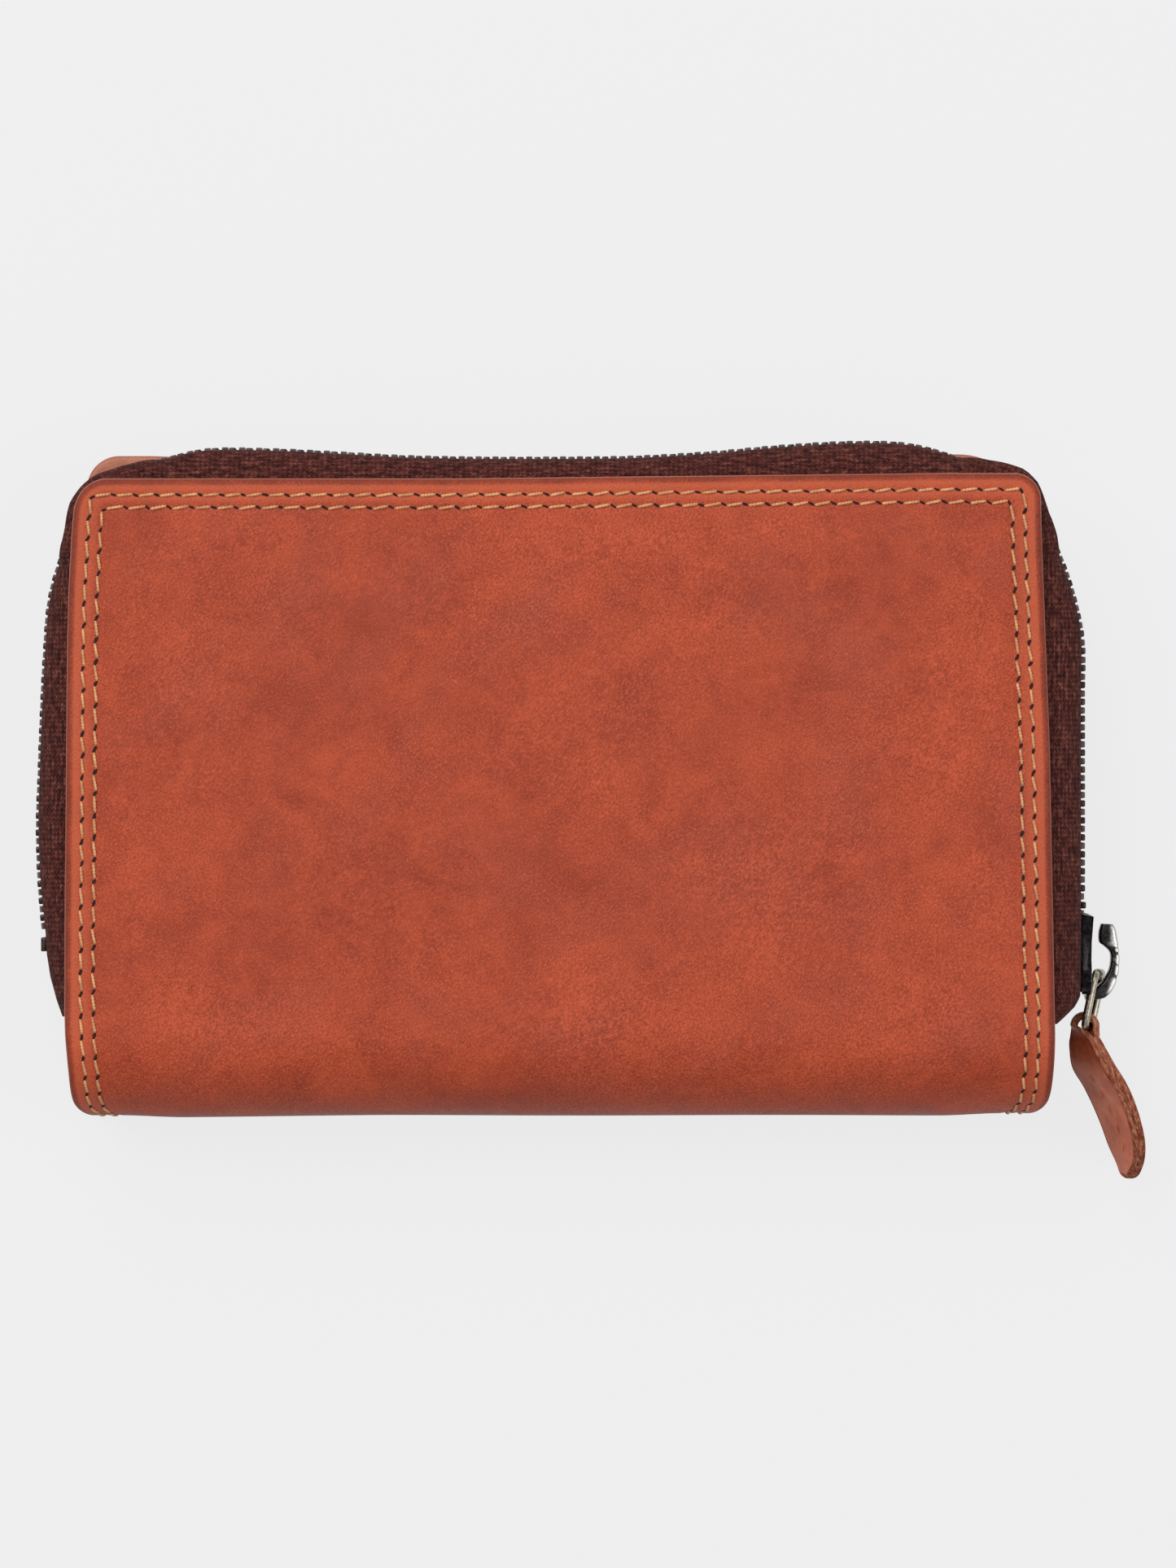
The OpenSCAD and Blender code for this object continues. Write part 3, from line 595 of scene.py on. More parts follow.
def stitch_points(start, end, up):
    """a two-ply thread that bows out of the leather between two holes"""
    along = (end - start) / np.linalg.norm(end - start)
    side = np.cross(up, along)
    points = []
    for i in range(RINGS):
        t = i / (RINGS - 1)
        lift = LIFT * math.sin(math.pi * t) ** 0.4 - DIVE
        centre = start + (end - start) * t + up * lift
        fat = THREAD * (0.6 + 0.4 * min(1, 7 * t, 7 * (1 - t)))
        for j in range(SIDES):
            a = 2 * math.pi * j / SIDES
            ply = 1 + 0.27 * math.cos(2 * (a - TWIST_TURNS * math.pi * t))
            points.append(centre + fat * ply * (math.cos(a) * side + math.sin(a) * up))
    return points


def on_sheet(x, v, top, mirrored):
    """a spot on the outer face and the outward normal there"""
    y, z, ny, nz = sheet_frame(v, top)
    from_edge = edge_distance(x, v, top, FRONT_CORNERS if mirrored else BACK_CORNERS)
    drop = sink(from_edge, x, y, 0.0 if mirrored else 1.0)
    dx, dy = out_of_square(x, y, mirrored)
    p, n = np.array([x + dx, y + dy - ny * drop, z - nz * drop]), np.array([0, ny, nz])
    if mirrored:
        p[2], n[2] = THICK - p[2], -n[2]
    return p, n


# %% Sew round both halves
def seam_route(inset, top, turns):
    """x and v along one stitch row, from the fold on the left over the top to the fold on the right,
    and the places of its two corners in that list; turns gives the radius of each corner"""
    end = top - FOLD_Y + math.pi / 2 * MID
    halves = []
    for side, soft in zip((-1, 1), turns):
        up = [(side * (sheet_half_width(v, top) - inset), v) for v in np.linspace(end, inset + soft, 60)]
        x0 = abs(up[-1][0]) - soft
        turn = [(side * (x0 + soft * math.cos(a)), inset + soft - soft * math.sin(a))
                for a in np.linspace(0, math.pi / 2, 8)[1:]]
        halves.append(up + turn)
    left, right = halves
    over = [(x, inset) for x in np.linspace(left[-1][0], right[-1][0], 60)[1:-1]]
    corners = 63, len(left + over + right) - 64
    return left + over + right[::-1], corners


SHOWN = 0.12, 0.86       # the part of each step along the seam that the thread covers
STITCH_LEAN = 0.17       # how far each end of a stitch stands off the line of its row


def sew(name, top, mirrored, bend):
    """both rows of stitches on one half, with a dark needle hole between any two"""
    threads, thread_faces, holes, hole_faces = [], [], [], []
    rng = np.random.default_rng(7)
    for inset, soft in zip(SEAMS, (0.5, 0.35)):
        route, corners = seam_route(inset, top, (soft, FRONT_CORNERS[1] - inset if mirrored else soft))
        spots = [on_sheet(x, v, top, mirrored) for x, v in route]
        steps = [np.linalg.norm(b[0] - a[0]) for a, b in zip(spots, spots[1:])]
        run = np.concatenate([[0], np.cumsum(steps)])
        marks = [0, *(run[i] for i in corners), run[-1]]
        counts = [int(round((b - a) / STITCH)) for a, b in zip(marks, marks[1:])]
        runs = [np.linspace(a, b, n, endpoint=False) for a, b, n in zip(marks, marks[1:], counts)]
        pricks = np.concatenate(runs + [[run[-1]]])
        lay = np.array(route)
        before = None
        for start, end in zip(pricks, pricks[1:]):
            ends = [start + (end - start) * (share + rng.uniform(-0.03, 0.03)) for share in SHOWN]
            a, b = [np.array([np.interp(s, run, lay[:, i]) for i in (0, 1)]) for s in ends]
            side = np.array([-(b - a)[1], (b - a)[0]]) / np.linalg.norm(b - a)
            lean = STITCH_LEAN * (1 + rng.uniform(-0.4, 0.4))
            a, b = a + lean * side, b - lean * side
            (p, up), (q, _) = on_sheet(*a, top, mirrored), on_sheet(*b, top, mirrored)
            thread_faces += tube_faces(RINGS, SIDES, len(threads))
            threads += stitch_points(p, q, up)
            if before is not None:
                gap = np.linalg.norm(a - before)
                long, (dx, dv) = gap / 2 + 0.06, (a - before) / gap
                fat = 0.23 if abs(dv) > abs(dx) else 0.19
                hole_faces.append(tuple(range(len(holes), len(holes) + 12)))
                for turn in np.linspace(0, 2 * math.pi, 12, endpoint=False):
                    wild = 1 + rng.uniform(-0.25, 0.25)
                    u, w = wild * long * math.cos(turn), wild * fat * math.sin(turn)
                    x, v = (a + before)[0] / 2 + u * dx - w * dv, (a + before)[1] / 2 + u * dv + w * dx
                    spot, out = on_sheet(x, v, top, mirrored)
                    holes.append(spot + 0.04 * out)
            before = b
    rows = make_piece(name + "_stitches", threads, thread_faces, waxed_thread)
    pricked = make_piece(name + "_needle_holes", holes, hole_faces, hole_look.mat)
    bend(rows)
    bend(pricked)
    print(name, "has", len(hole_faces) + 2, "stitches")


sew("back_cover", BACK_TOP, False, bend_back)
sew("front_cover", FRONT_TOP - 0.05, True, bend_front)

# %% [markdown]
# ## The line of the zip
# The zip leaves the covers at the left, bows out, climbs round both corners and comes down the right
# side to the slider. A Blender curve could carry it, but tape, teeth and slider all need to ask where the
# line is, so it stays a plain table: a smooth curve through the same points as in the engineering model,
# and its length so far at every step, which lets every tooth find its place.

# %% Line of the zip
CHAIN_OUT = 3.8                 # how far the straight right side stands off the cover
CHAIN_X = HALF_W + CHAIN_OUT
CHAIN_Y0 = FOLD_Y + 14.5        # height of the first tooth
SIDE_H = FRONT_TOP - CHAIN_Y0
PITCH = 2.45                    # from tooth to tooth on one tape
SLIDER_TAIL = CHAIN_Y0 + 2.5    # upper end of the slider, where the closed rows leave it

# left: (share of the side's height, mm out); top: (share of half the width, mm over the front cover);
# right: (share of the side's height, mm drawn in)
left_bow = [(0, 2.8), (.11, 3.5), (.225, 3.8), (.34, 3.6), (.455, 3.3), (.57, 2.9), (.69, 2.2), (.79, .2),
            (.90, -3.3)]
top_bow = [(-.895, -3.5), (-.81, -1.9), (-.72, -.5), (-.59, -.5), (-.465, -.9), (-.31, -1.5), (-.155, -1.7),
           (0, -1.7), (.155, -1.55), (.31, -.9), (.45, 0), (.59, .55), (.71, .3), (.81, -1.6), (.895, -4.2)]
right_bow = [(.885, 6.5), (.79, 3.3), (.71, 1.3), (.62, 0), (.50, 0), (.375, 0), (.25, 0), (.125, 0),
             (.02, 0), (-.1, 0)]
knots = [(-(HALF_W + off), CHAIN_Y0 + share * SIDE_H) for share, off in left_bow]
knots += [(share * HALF_W, FRONT_TOP + rise) for share, rise in top_bow]
knots += [(CHAIN_X - drop, CHAIN_Y0 + share * SIDE_H) for share, drop in right_bow]
knots = np.array(knots)


def smooth_line(k, n):
    """a Catmull-Rom curve: it passes through every knot"""
    line = []
    for i in range(len(k) - 1):
        p0, p1, p2, p3 = k[max(i - 1, 0)], k[i], k[i + 1], k[min(i + 2, len(k) - 1)]
        for t in np.arange(n) / n:
            square, cube = 2 * p0 - 5 * p1 + 4 * p2 - p3, 3 * p1 - p0 - 3 * p2 + p3
            line.append(0.5 * (2 * p1 + (p2 - p0) * t + square * t ** 2 + cube * t ** 3))
    return np.array(line)


chain_line = smooth_line(knots, 8)
chain_run = np.concatenate([[0], np.cumsum(np.linalg.norm(np.diff(chain_line, axis=0), axis=1))])
on_right = chain_line[:, 0] > HALF_W
CLEAR = 1.4                     # the rows end this far above the slider
last = max(i for i in range(len(chain_line)) if on_right[i] and chain_line[i, 1] > SLIDER_TAIL + CLEAR)
gone = (chain_line[last, 1] - SLIDER_TAIL - CLEAR) / (chain_line[last, 1] - chain_line[last + 1, 1])
CHAIN_LENGTH = chain_run[last] + gone * (chain_run[last + 1] - chain_run[last])
TOOTH_COUNT = int(CHAIN_LENGTH / PITCH - 0.5)


def chain_at(s):
    return np.array([np.interp(s, chain_run, chain_line[:, 0]), np.interp(s, chain_run, chain_line[:, 1])])


def chain_dir(s):
    d = chain_at(s + 0.4) - chain_at(s - 0.4)
    return d / np.linalg.norm(d)


print("zip line is", round(CHAIN_LENGTH, 1), "mm long with", TOOTH_COUNT, "teeth a side")

# %% [markdown]
# ## Zip tape
# The tape is a narrow woven band. Its hem is sewn inside the cover, it bends up towards the middle of the
# wallet, and its beaded edge carries the teeth. Cloth simulation suits padding, but this band is held at
# both edges and hardly free to fall. So its section is drawn once, and swept along the line of the zip,
# ends included: the tails that tuck in beside the spine are part of the same band. Two numbers on every
# point, the distance along and across the band in millimetres, let the weave follow the curves.

# %% Woven tape material
tape_look = Recipe("zip_tape")
along = tape_look.attribute("along_mm").outputs["Fac"]
across = tape_look.attribute("across_mm").outputs["Fac"]
thread_place = tape_look.add("ShaderNodeCombineXYZ")
tape_look.join(tape_look.sum("MULTIPLY", along, 0.55), thread_place.inputs["X"])
tape_look.join(tape_look.sum("MULTIPLY", across, 2.6), thread_place.inputs["Y"])
streak = tape_look.noise(1.0, 3, 0.6, thread_place.outputs[0], 0.6)
RIB_MM, WEFT_MM = 0.66, 0.70    # from one rib of the weave to the next, across and along
rib = tape_look.sum("SINE", tape_look.sum("MULTIPLY", across, 2 * math.pi / RIB_MM))
weft = tape_look.sum("MULTIPLY", along, 2 * math.pi / WEFT_MM)
twill = tape_look.sum("SINE", tape_look.sum("MULTIPLY_ADD", rib, 0.9, weft))
fuzz = tape_look.noise(1500, 3, 0.7)
shade = tape_look.sum("MULTIPLY_ADD", streak, 0.55, tape_look.sum("MULTIPLY", fuzz, 0.45))
shade = tape_look.sum("MULTIPLY_ADD", twill, 0.026, tape_look.sum("MULTIPLY_ADD", rib, 0.016, shade))
tape_tone = tape_look.ramp(shade, [(0.36, (0.020, 0.005, 0.006)), (0.49, (0.074, 0.017, 0.014)),
                                   (0.58, (0.148, 0.040, 0.028)), (0.68, (0.24, 0.095, 0.066))])
rough_weave = tape_look.sum("MULTIPLY_ADD", fuzz, 1.2, tape_look.sum("MULTIPLY", twill, 0.8))
tape_height = tape_look.sum("MULTIPLY_ADD", streak, 1.6, rough_weave)
tape_look.surface(Base_Color=tape_tone, Normal=tape_look.bump(tape_height, 0.8, 0.00015), Roughness=0.9,
                  Specular_IOR_Level=0.15, Sheen_Weight=0.04, Sheen_Roughness=0.4)
print("tape is a ribbed twill")

# %% Path of the tape
HEM_IN, HEM_R, HEM_W = 3.0, 8.0, 2.2        # hem line inside the cover's edge, its corners, its width
HEM_X = HALF_W - TAPER - HEM_IN


def hem_at(p, top):
    """the nearest spot on the hem line, a rounded frame inside the edge of the cover"""
    x, y = HEM_X - HEM_R, top - HEM_IN - HEM_R
    c = np.array([min(max(p[0], -x), x), min(p[1], y)])
    d = p - c
    return c + HEM_R * d / np.linalg.norm(d)


def tape_stations(top):
    """(point on the zip line, root at the hem, hem width) from the left end to the right end"""
    low = FOLD_Y + 1.2                      # the tails end here, just above the fold
    stations = []
    y0 = chain_at(0.3)[1]
    left = [(0, 1), (.25, .93), (.5, .72), (.75, .35), (.92, .02)]
    for k in np.linspace(0.92, 0.04, 16):
        y = y0 + (low - y0) * k
        x = HALF_W + 0.3 + 2.5 * np.interp(k, *zip(*left))
        hem = 0.4 + 1.8 * min(1, 3 * (1 - k)) * (k < 0.5)
        stations.append((np.array([-x, y]), np.array([-HEM_X, y]), hem))
    for s in np.linspace(0.3, CHAIN_LENGTH - 0.3, 330):
        p = chain_at(s)
        stations.append((p, hem_at(p, top), HEM_W))
    y1 = chain_at(CHAIN_LENGTH - 0.3)[1]
    right = [(0, 1), (.6, 1), (.78, .97), (.86, .75), (.94, .35), (1, .02)]
    for k in np.linspace(0.04, 1, 22):
        y = y1 + (low - y1) * k
        x = HALF_W + 0.3 + (CHAIN_OUT - 0.3) * np.interp(k, *zip(*right))
        stations.append((np.array([x, y]), np.array([HEM_X, y]), 0.4))
    return stations


# (degrees round the corner from its side, mm from the hem to the fullest part of the tape)
CORNER_REACH = {-1: [(0, 5.2), (6, 5.05), (11, 4.85), (18, 4.95), (26, 5.4), (33, 5.8), (45, 6.0), (53, 5.95),
                     (65, 5.4), (77, 5.25), (90, 5.5)],
                1: [(0, 5.1), (18, 5.0), (28, 5.05), (37, 5.6), (46, 6.35), (56, 6.6), (63, 6.25), (75, 5.8),
                    (90, 5.8)]}
FADE = 7                                    # mm over which the fullness of a corner dies out


def corner_bulge(p, reach):
    """how far the tape billows out past its own edge: a little along the top, more at the crowded corners"""
    side = -1 if p[0] < 0 else 1
    dx, dy = abs(p[0]) - (HEM_X - HEM_R), p[1] - (BACK_TOP - HEM_IN - HEM_R)
    top_swell = 0.30 * min(max(dy / 8, 0), 1)
    if dx <= -FADE or dy <= -FADE:
        return top_swell
    turn = math.degrees(math.atan2(max(dy, 0), max(dx, 0.001)))
    fade = (1 + min(dx, 0) / FADE) * (1 + min(dy, 0) / FADE)
    return max(fade * (np.interp(turn, *zip(*CORNER_REACH[side])) - reach), top_swell)


# %% Section of the tape and its bend
TAPE_T, TAPE_TOP, BEND_Z = 0.6, MID - 1.8, MID - 6.2   # thickness, top of the bead, height where it stands


def tape_section(reach, hem, bulge):
    """outer face from hem to bead, then the inner face back, as (n, z, across)"""
    z0, h = LEATHER + 0.02, BEND_Z - LEATHER
    bend = np.radians(np.linspace(0, 90, 13))
    w = reach + TAPE_T / 2
    target = w + bulge
    swell = 0.0
    if bulge > 0.05:
        swell = min((target - w * math.sin(b)) / math.sin(2 * b) ** 1.2 for b in bend[3:-1])
    billow = [swell * max(math.sin(2 * b), 0) ** 1.2 for b in bend]
    outer = [(-hem, z0)] + [(w * math.sin(b) + e, z0 + h * (1 - math.cos(b))) for b, e in zip(bend, billow)]
    outer += [(w, z) for z in (6.8, 7.8, 8.8, 9.3)] + [(w + 0.12, 9.55), (w + 0.14, 9.85), (w + 0.03, 10.12)]
    w2, h2 = w - TAPE_T, h - TAPE_T
    inner = [(-hem, z0 + TAPE_T)]
    inner += [(w2 * math.sin(b) + e, z0 + TAPE_T + h2 * (1 - math.cos(b)))
              for b, e in list(zip(bend, billow))[::2]]
    inner += [(w2, z) for z in (7.4, 9.3)] + [(w2 - 0.12, 9.55), (w2 - 0.14, 9.85), (w2 - 0.03, 10.12)]
    ring = outer + [(w - 0.3, TAPE_TOP)] + inner[::-1]
    over = np.concatenate([[0], np.cumsum([math.dist(a, b) for a, b in zip(ring, ring[1:])])])
    return [(n, z, a) for (n, z), a in zip(ring, over)]


def bend_zip(obj, back):
    """bakes the band's place into its points; it bends nothing"""
    if back:
        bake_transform(obj)
    else:
        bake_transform(obj)


def bend_teeth(obj, back):
    """bakes the row's place into its points; it turns no tooth"""
    if back:
        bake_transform(obj)
    else:
        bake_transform(obj)


# %% Make both tapes
def sweep_tape(name, top, back):
    """the section at every station of the path, joined into one closed band"""
    points, length, width, run, before = [], [], [], 0.0, None
    stations = tape_stations(top)
    for p, root, hem in stations:
        run += 0 if before is None else np.linalg.norm(p - before)
        before = p
        reach = np.linalg.norm(p - root)
        u = (p - root) / reach
        for n, z, a in tape_section(reach, hem, corner_bulge(p, reach) if back else 0.0):
            points.append((root[0] + u[0] * n, root[1] + u[1] * n, THICK - z if back else z))
            length.append(run)
            width.append(a)
    cols = len(points) // len(stations)
    faces = grid_faces(len(stations), cols, 0, closed=True, flip=back)
    first, last_end = tuple(range(cols)), tuple(range((len(stations) - 1) * cols, len(stations) * cols))
    faces += [first, last_end[::-1]] if back else [first[::-1], last_end]
    obj = make_piece(name, points, faces, tape_look.mat)
    store(obj, "along_mm", length)
    store(obj, "across_mm", width)
    bend_zip(obj, back)
    return obj


front_tape = sweep_tape("front_tape", FRONT_TOP, False)
back_tape = sweep_tape("back_tape", BACK_TOP, True)
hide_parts("front_zip_tape", "zip_tail_left_front", "zip_tail_right_front")
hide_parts("back_zip_tape", "zip_tail_left_back", "zip_tail_right_back")
print("swept two tapes of", len(front_tape.data.vertices), "points each")

# %% [markdown]
# ## Teeth
# Each tooth is a small stamped piece of metal: two legs pinch the bead of the tape and a blunt head meshes
# with the opposite row. An Array modifier on a curve would space them well, but two rows that mesh have to
# stand half a step apart along one line. So one tooth is built with rounded edges, and copied to every
# spot that the table of the zip's line gives.

# %% Metals
def metal_recipe(name, dark, bright, rough, scale, worn=None, relief=0.25):
    """stained metal; worn is the bare colour that shows where the number rubbed is high"""
    r = Recipe(name)
    stain = r.noise(scale, 4, 0.65)
    fine = r.noise(scale * 7, 3, 0.6)
    grime = r.sum("MULTIPLY_ADD", stain, 0.6, r.sum("MULTIPLY", fine, 0.4))
    tone = r.ramp(grime, [(0.38, dark), (0.62, bright)])
    if worn:
        rub = r.sum("MULTIPLY_ADD", r.sum("SUBTRACT", stain, 0.5), 1.2, r.attribute("rubbed").outputs["Fac"])
        tone = r.mix(r.ramp(rub, [(0.35, 0.0), (0.75, 1.0)]), tone, worn)
    dull = r.ramp(fine, [(0.3, rough - 0.08), (0.7, rough + 0.12)])
    pitted = r.bump(r.sum("MULTIPLY_ADD", fine, 0.5, stain), relief, 0.00015)
    r.surface(Base_Color=tone, Roughness=dull, Normal=pitted, Metallic=1.0)
    return r.mat


dark_metal = metal_recipe("dark_metal", (0.036, 0.022, 0.020), (0.115, 0.080, 0.072), 0.30, 620)
gunmetal = metal_recipe("gunmetal", (0.010, 0.008, 0.009), (0.045, 0.038, 0.041), 0.17, 300, relief=0.05)
# a paler metal for the rounded edges of the slider box
pale_edge = metal_recipe("pale_edge_metal", (0.10, 0.095, 0.095), (0.42, 0.40, 0.39), 0.22, 700, relief=0.1)
crown_metal = metal_recipe("crown_metal", (0.028, 0.023, 0.024), (0.085, 0.074, 0.072), 0.26, 520,
                           worn=(0.66, 0.64, 0.60), relief=0.15)
old_brass = metal_recipe("old_brass", (0.25, 0.215, 0.16), (0.62, 0.555, 0.44), 0.27, 300, relief=0.12)
light_brass = metal_recipe("light_brass", (0.50, 0.37, 0.17), (0.68, 0.53, 0.27), 0.30, 380)
print("mixed six metals")

# %% One tooth
TOOTH_LAP, TOOTH_WIDE = 0.9, 4.0    # how far a tooth reaches past the middle, and its whole width


def tooth_mesh(n=2.6, s=0.95, z0=MID + TOOTH_LAP - TOOTH_WIDE, z1=MID + TOOTH_LAP, slot=TAPE_TOP + 0.15,
               tape=TAPE_T, chamfer=0.45, soft=0.20):
    """one tooth: n deep, s along the row, from z0 to z1, with a slot between its legs for the tape"""
    w, g = n / 2, tape / 2 + 0.2
    outline = [(-w, z0), (-g, z0), (-g, slot), (g, slot), (g, z0), (w, z0), (w, z1 - 2 * chamfer),
               (w - chamfer, z1), (-w + chamfer, z1), (-w, z1 - 2 * chamfer)]
    build = bmesh.new()
    ring = [build.verts.new((x, -s / 2, z)) for x, z in outline]
    face = build.faces.new(ring)
    moved = bmesh.ops.extrude_face_region(build, geom=[face])["geom"]
    bmesh.ops.translate(build, vec=(0, s, 0), verts=[v for v in moved if isinstance(v, bmesh.types.BMVert)])
    bmesh.ops.recalc_face_normals(build, faces=build.faces)
    bmesh.ops.bevel(build, geom=build.edges, offset=soft, segments=2, profile=0.6, affect="EDGES",
                    clamp_overlap=True)
    build.verts.index_update()
    points = np.round([v.co for v in build.verts], 4)
    rings = [[v.index for v in f.verts] for f in build.faces]
    build.free()
    # the bevel lists its faces differently every time, so here each starts at its first point, in order
    starts = [ring.index(min(ring)) for ring in rings]
    return points, sorted(tuple(ring[k:] + ring[:k]) for ring, k in zip(rings, starts))


def tooth_rows(name, spots, shape, back, material):
    """copy one tooth to every spot, given as (x, y, direction of the row)"""
    base, base_faces = shape
    points, faces = [], []
    for x, y, d in spots:
        start = len(points) * len(base)
        turned = np.stack([base[:, 0] * d[1] + base[:, 1] * d[0] + x,
                           -base[:, 0] * d[0] + base[:, 1] * d[1] + y, base[:, 2]], 1)
        if back:
            turned[:, 2] = THICK - turned[:, 2]
        points.append(turned)
        faces += [tuple(start + i for i in (f[::-1] if back else f)) for f in base_faces]
    return make_piece(name, np.concatenate(points), faces, material)


# %% Both rows of teeth and the last teeth under the slider
tooth = tooth_mesh()
for back in (False, True):
    side = "back" if back else "front"
    spots = []
    for i in range(TOOTH_COUNT):
        s = (i + 0.3 + (0.5 if back else 0)) * PITCH
        (x, y), d = chain_at(s), chain_dir(s)
        above = share_of(y, -20, 0) if x < 0 else share_of(y, 18, 24)
        sunk = (0.12 if back else -0.12) + 0.24 * abs(d[1]) * above
        spots.append((x + d[1] * sunk, y - d[0] * sunk, d))
    row = tooth_rows(side + "_teeth", spots, tooth, back, dark_metal)
    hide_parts(*[side + "_zip_teeth_" + part for part in ("left", "top", "right")])
    bend_teeth(row, back)
    print(side, "row has", len(spots), "teeth")

down = np.array([0.0, -1.0])
first_y = chain_at(PITCH * (TOOTH_COUNT - 0.7))[1]
for back in (False, True):
    side = "back" if back else "front"
    spots = [(CHAIN_X, first_y - (i + 0.5 * back) * PITCH, down) for i in (1, 2, 3)]
    row = tooth_rows("slider_teeth_" + side, spots, tooth, back, dark_metal)
    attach(row, "spine")
    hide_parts("zip_end_teeth")

# %% [markdown]
# ## Slider, crown and wire link
# The slider is a die-cast box with two wings, coated dark, and a crown stands on its outer wing like an
# open C. Worn high spots on the crown shine through the coating. The box comes from the engineering model
# with its edges rounded, since drawing it again would only risk that it differs. The crown narrows and
# swells along its arch, which a sweep of one section can't do, so it is lofted between an outer and an
# inner line. The wire is the same all round, and there one section swept along a flat loop is enough.

# %% Rounded copies of engineering pieces
def round_edges(obj, width, sharper_than, segments=3):
    """bevel every edge that turns by more than so many degrees"""
    bevel = obj.modifiers.new("rounded_edges", "BEVEL")
    bevel.width = width * MM
    bevel.segments = segments
    bevel.limit_method = "ANGLE"
    bevel.angle_limit = math.radians(sharper_than)
    return bevel


def rounded_copy(name, node, material, width, segments=3, edge=None):
    """copy the node's mesh in world space, round its edges and let it ride where the node rides"""
    source = nodes[node]
    mesh = source.data.copy()
    mesh.transform(source.matrix_world)
    mesh.name = name
    mesh.materials.clear()
    mesh.materials.append(material)
    if edge:
        mesh.materials.append(edge)
    weld(mesh, 1e-6, lambda loose: bmesh.ops.dissolve_limit(
        loose, angle_limit=math.radians(1.5), verts=loose.verts, edges=loose.edges))
    mesh.shade_smooth()
    obj = bpy.data.objects.new(name, mesh)
    scene.collection.objects.link(obj)
    bevel = round_edges(obj, width, 35, segments)
    bevel.harden_normals = True
    bevel.material = 1 if edge else -1
    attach(obj, next(name for name, body in frame["bodies"].items() if source.parent == body))
    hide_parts(node)
    return obj


# %% Slider box and stops
# every rounded edge of the box gets the paler metal
slider_box = rounded_copy("slider_box", "slider_body", gunmetal, 0.26, edge=pale_edge)
WING_TAPER, WING_LOSS = 0.07, 0.45      # the outer wing thins towards its foot, so steeply and so much
SLANT_FROM, SLANT = 0.3, 0.45           # its top corner lies within so many mm, and is cut back so far
outer_wing = max(v.co.x for v in slider_box.data.vertices)
thinnest = outer_wing - WING_LOSS * MM
for v in slider_box.data.vertices:
    if v.co.x > thinnest:
        v.co.x = max(v.co.x - WING_TAPER * (SLIDER_TAIL * MM - v.co.y), thinnest)
        v.co.y -= SLANT * MM * (v.co.y > (SLIDER_TAIL - SLANT_FROM) * MM)
rounded_copy("bottom_stop", "zip_bottom_stop", dark_metal, 0.15)
rounded_copy("top_stops", "zip_top_stops", dark_metal, 0.1, 2)
print("slider box has", len(slider_box.data.polygons), "faces before rounding")

# %% Crown
def superellipse(a, b, power, n):
    """a ring of n points between an ellipse, at power 2, and a rectangle, at a high power"""
    def bent(wave):
        return np.sign(wave) * abs(wave) ** (2 / power)

    turns = np.linspace(0, 2 * math.pi, n, endpoint=False)
    return [(a * bent(math.cos(t)), b * bent(math.sin(t))) for t in turns]


outer_arc = [(76.3, -31.35), (77.0, -31.5), (77.9, -31.5), (78.9, -31.25), (79.8, -30.5), (80.5, -29.15),
             (80.93, -27.5), (81.05, -25.85), (81.0, -24.6), (80.85, -23.4), (80.68, -22.3), (80.45, -21.2),
             (80.0, -20.55)]
inner_arc = [(76.3, -30.3), (76.9, -30.2), (77.5, -29.9), (78.1, -29.3), (78.7, -28.7), (79.2, -27.9),
             (79.62, -26.8), (79.77, -25.5), (79.6, -24.55), (78.8, -23.75), (78.12, -23.15), (78.08, -21.7),
             (78.45, -20.4)]
outer_line, inner_line = smooth_line(np.array(outer_arc), 6), smooth_line(np.array(inner_arc), 6)
CROWN_RING, CROWN_HALF = 28, 1.4        # points round the arch, half its width
DENTS = ((0.46, 0.20), (0.55, 0.13), (0.66, 0.20), (0.72, 0.10))    # (share of the arch, mm deep)
DENT_WIDE = 0.013                       # half a dent as a share of the arch
WEAR = ((0.22, 0.38, 0.80, 0.90, 1), (0.0, 1.0, 1.0, 0.75, 0.55))   # share of the arch, how bare it is
crown_ring = superellipse(1, 1, 5, CROWN_RING)
crown_points, rubbed = [], []
for (x, y), (x0, y0), t in zip(outer_line, inner_line, np.linspace(0, 1, len(outer_line))):
    dent = sum(deep * math.exp(-((t - at) / DENT_WIDE) ** 2) for at, deep in DENTS)
    half, worn = math.hypot(x - x0, y - y0) / 2, np.interp(t, *WEAR)
    for a, b in crown_ring:
        out = a - max(a, 0) * dent / half
        crown_points.append(((x + x0) / 2 + (x - x0) / 2 * out, (y + y0) / 2 + (y - y0) / 2 * out,
                             MID + CROWN_HALF * b))
        rubbed.append(worn * (0.42 + 0.80 * a if a > 0 else 0.22) * max(1 - 6 * dent, 0))
crown_faces = tube_faces(len(outer_line), CROWN_RING)
crown = make_piece("slider_crown_arch", crown_points, crown_faces, crown_metal)
store(crown, "rubbed", rubbed)
round_edges(crown, 0.22, 50)
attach(crown, "zip_slider")
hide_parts("slider_crown")
print("crown has", len(crown_points), "points")

# %% Wire link
def sweep_ring(path, section, up):
    """carry a section of (side, up) offsets round a closed path; its faces meet at the start"""
    points, faces, rows, cols = [], [], len(path), len(section)
    for i, p in enumerate(path):
        ahead = path[(i + 1) % rows] - path[i - 1]
        ahead /= np.linalg.norm(ahead)
        side = np.cross(ahead, up)
        side /= np.linalg.norm(side)
        points += [p + side * q[0] + up * q[1] for q in section]
        here, there = i * cols, (i + 1) % rows * cols
        for j in range(cols):
            k = (j + 1) % cols
            faces.append((here + j, here + k, there + k, there + j))
    return points, faces


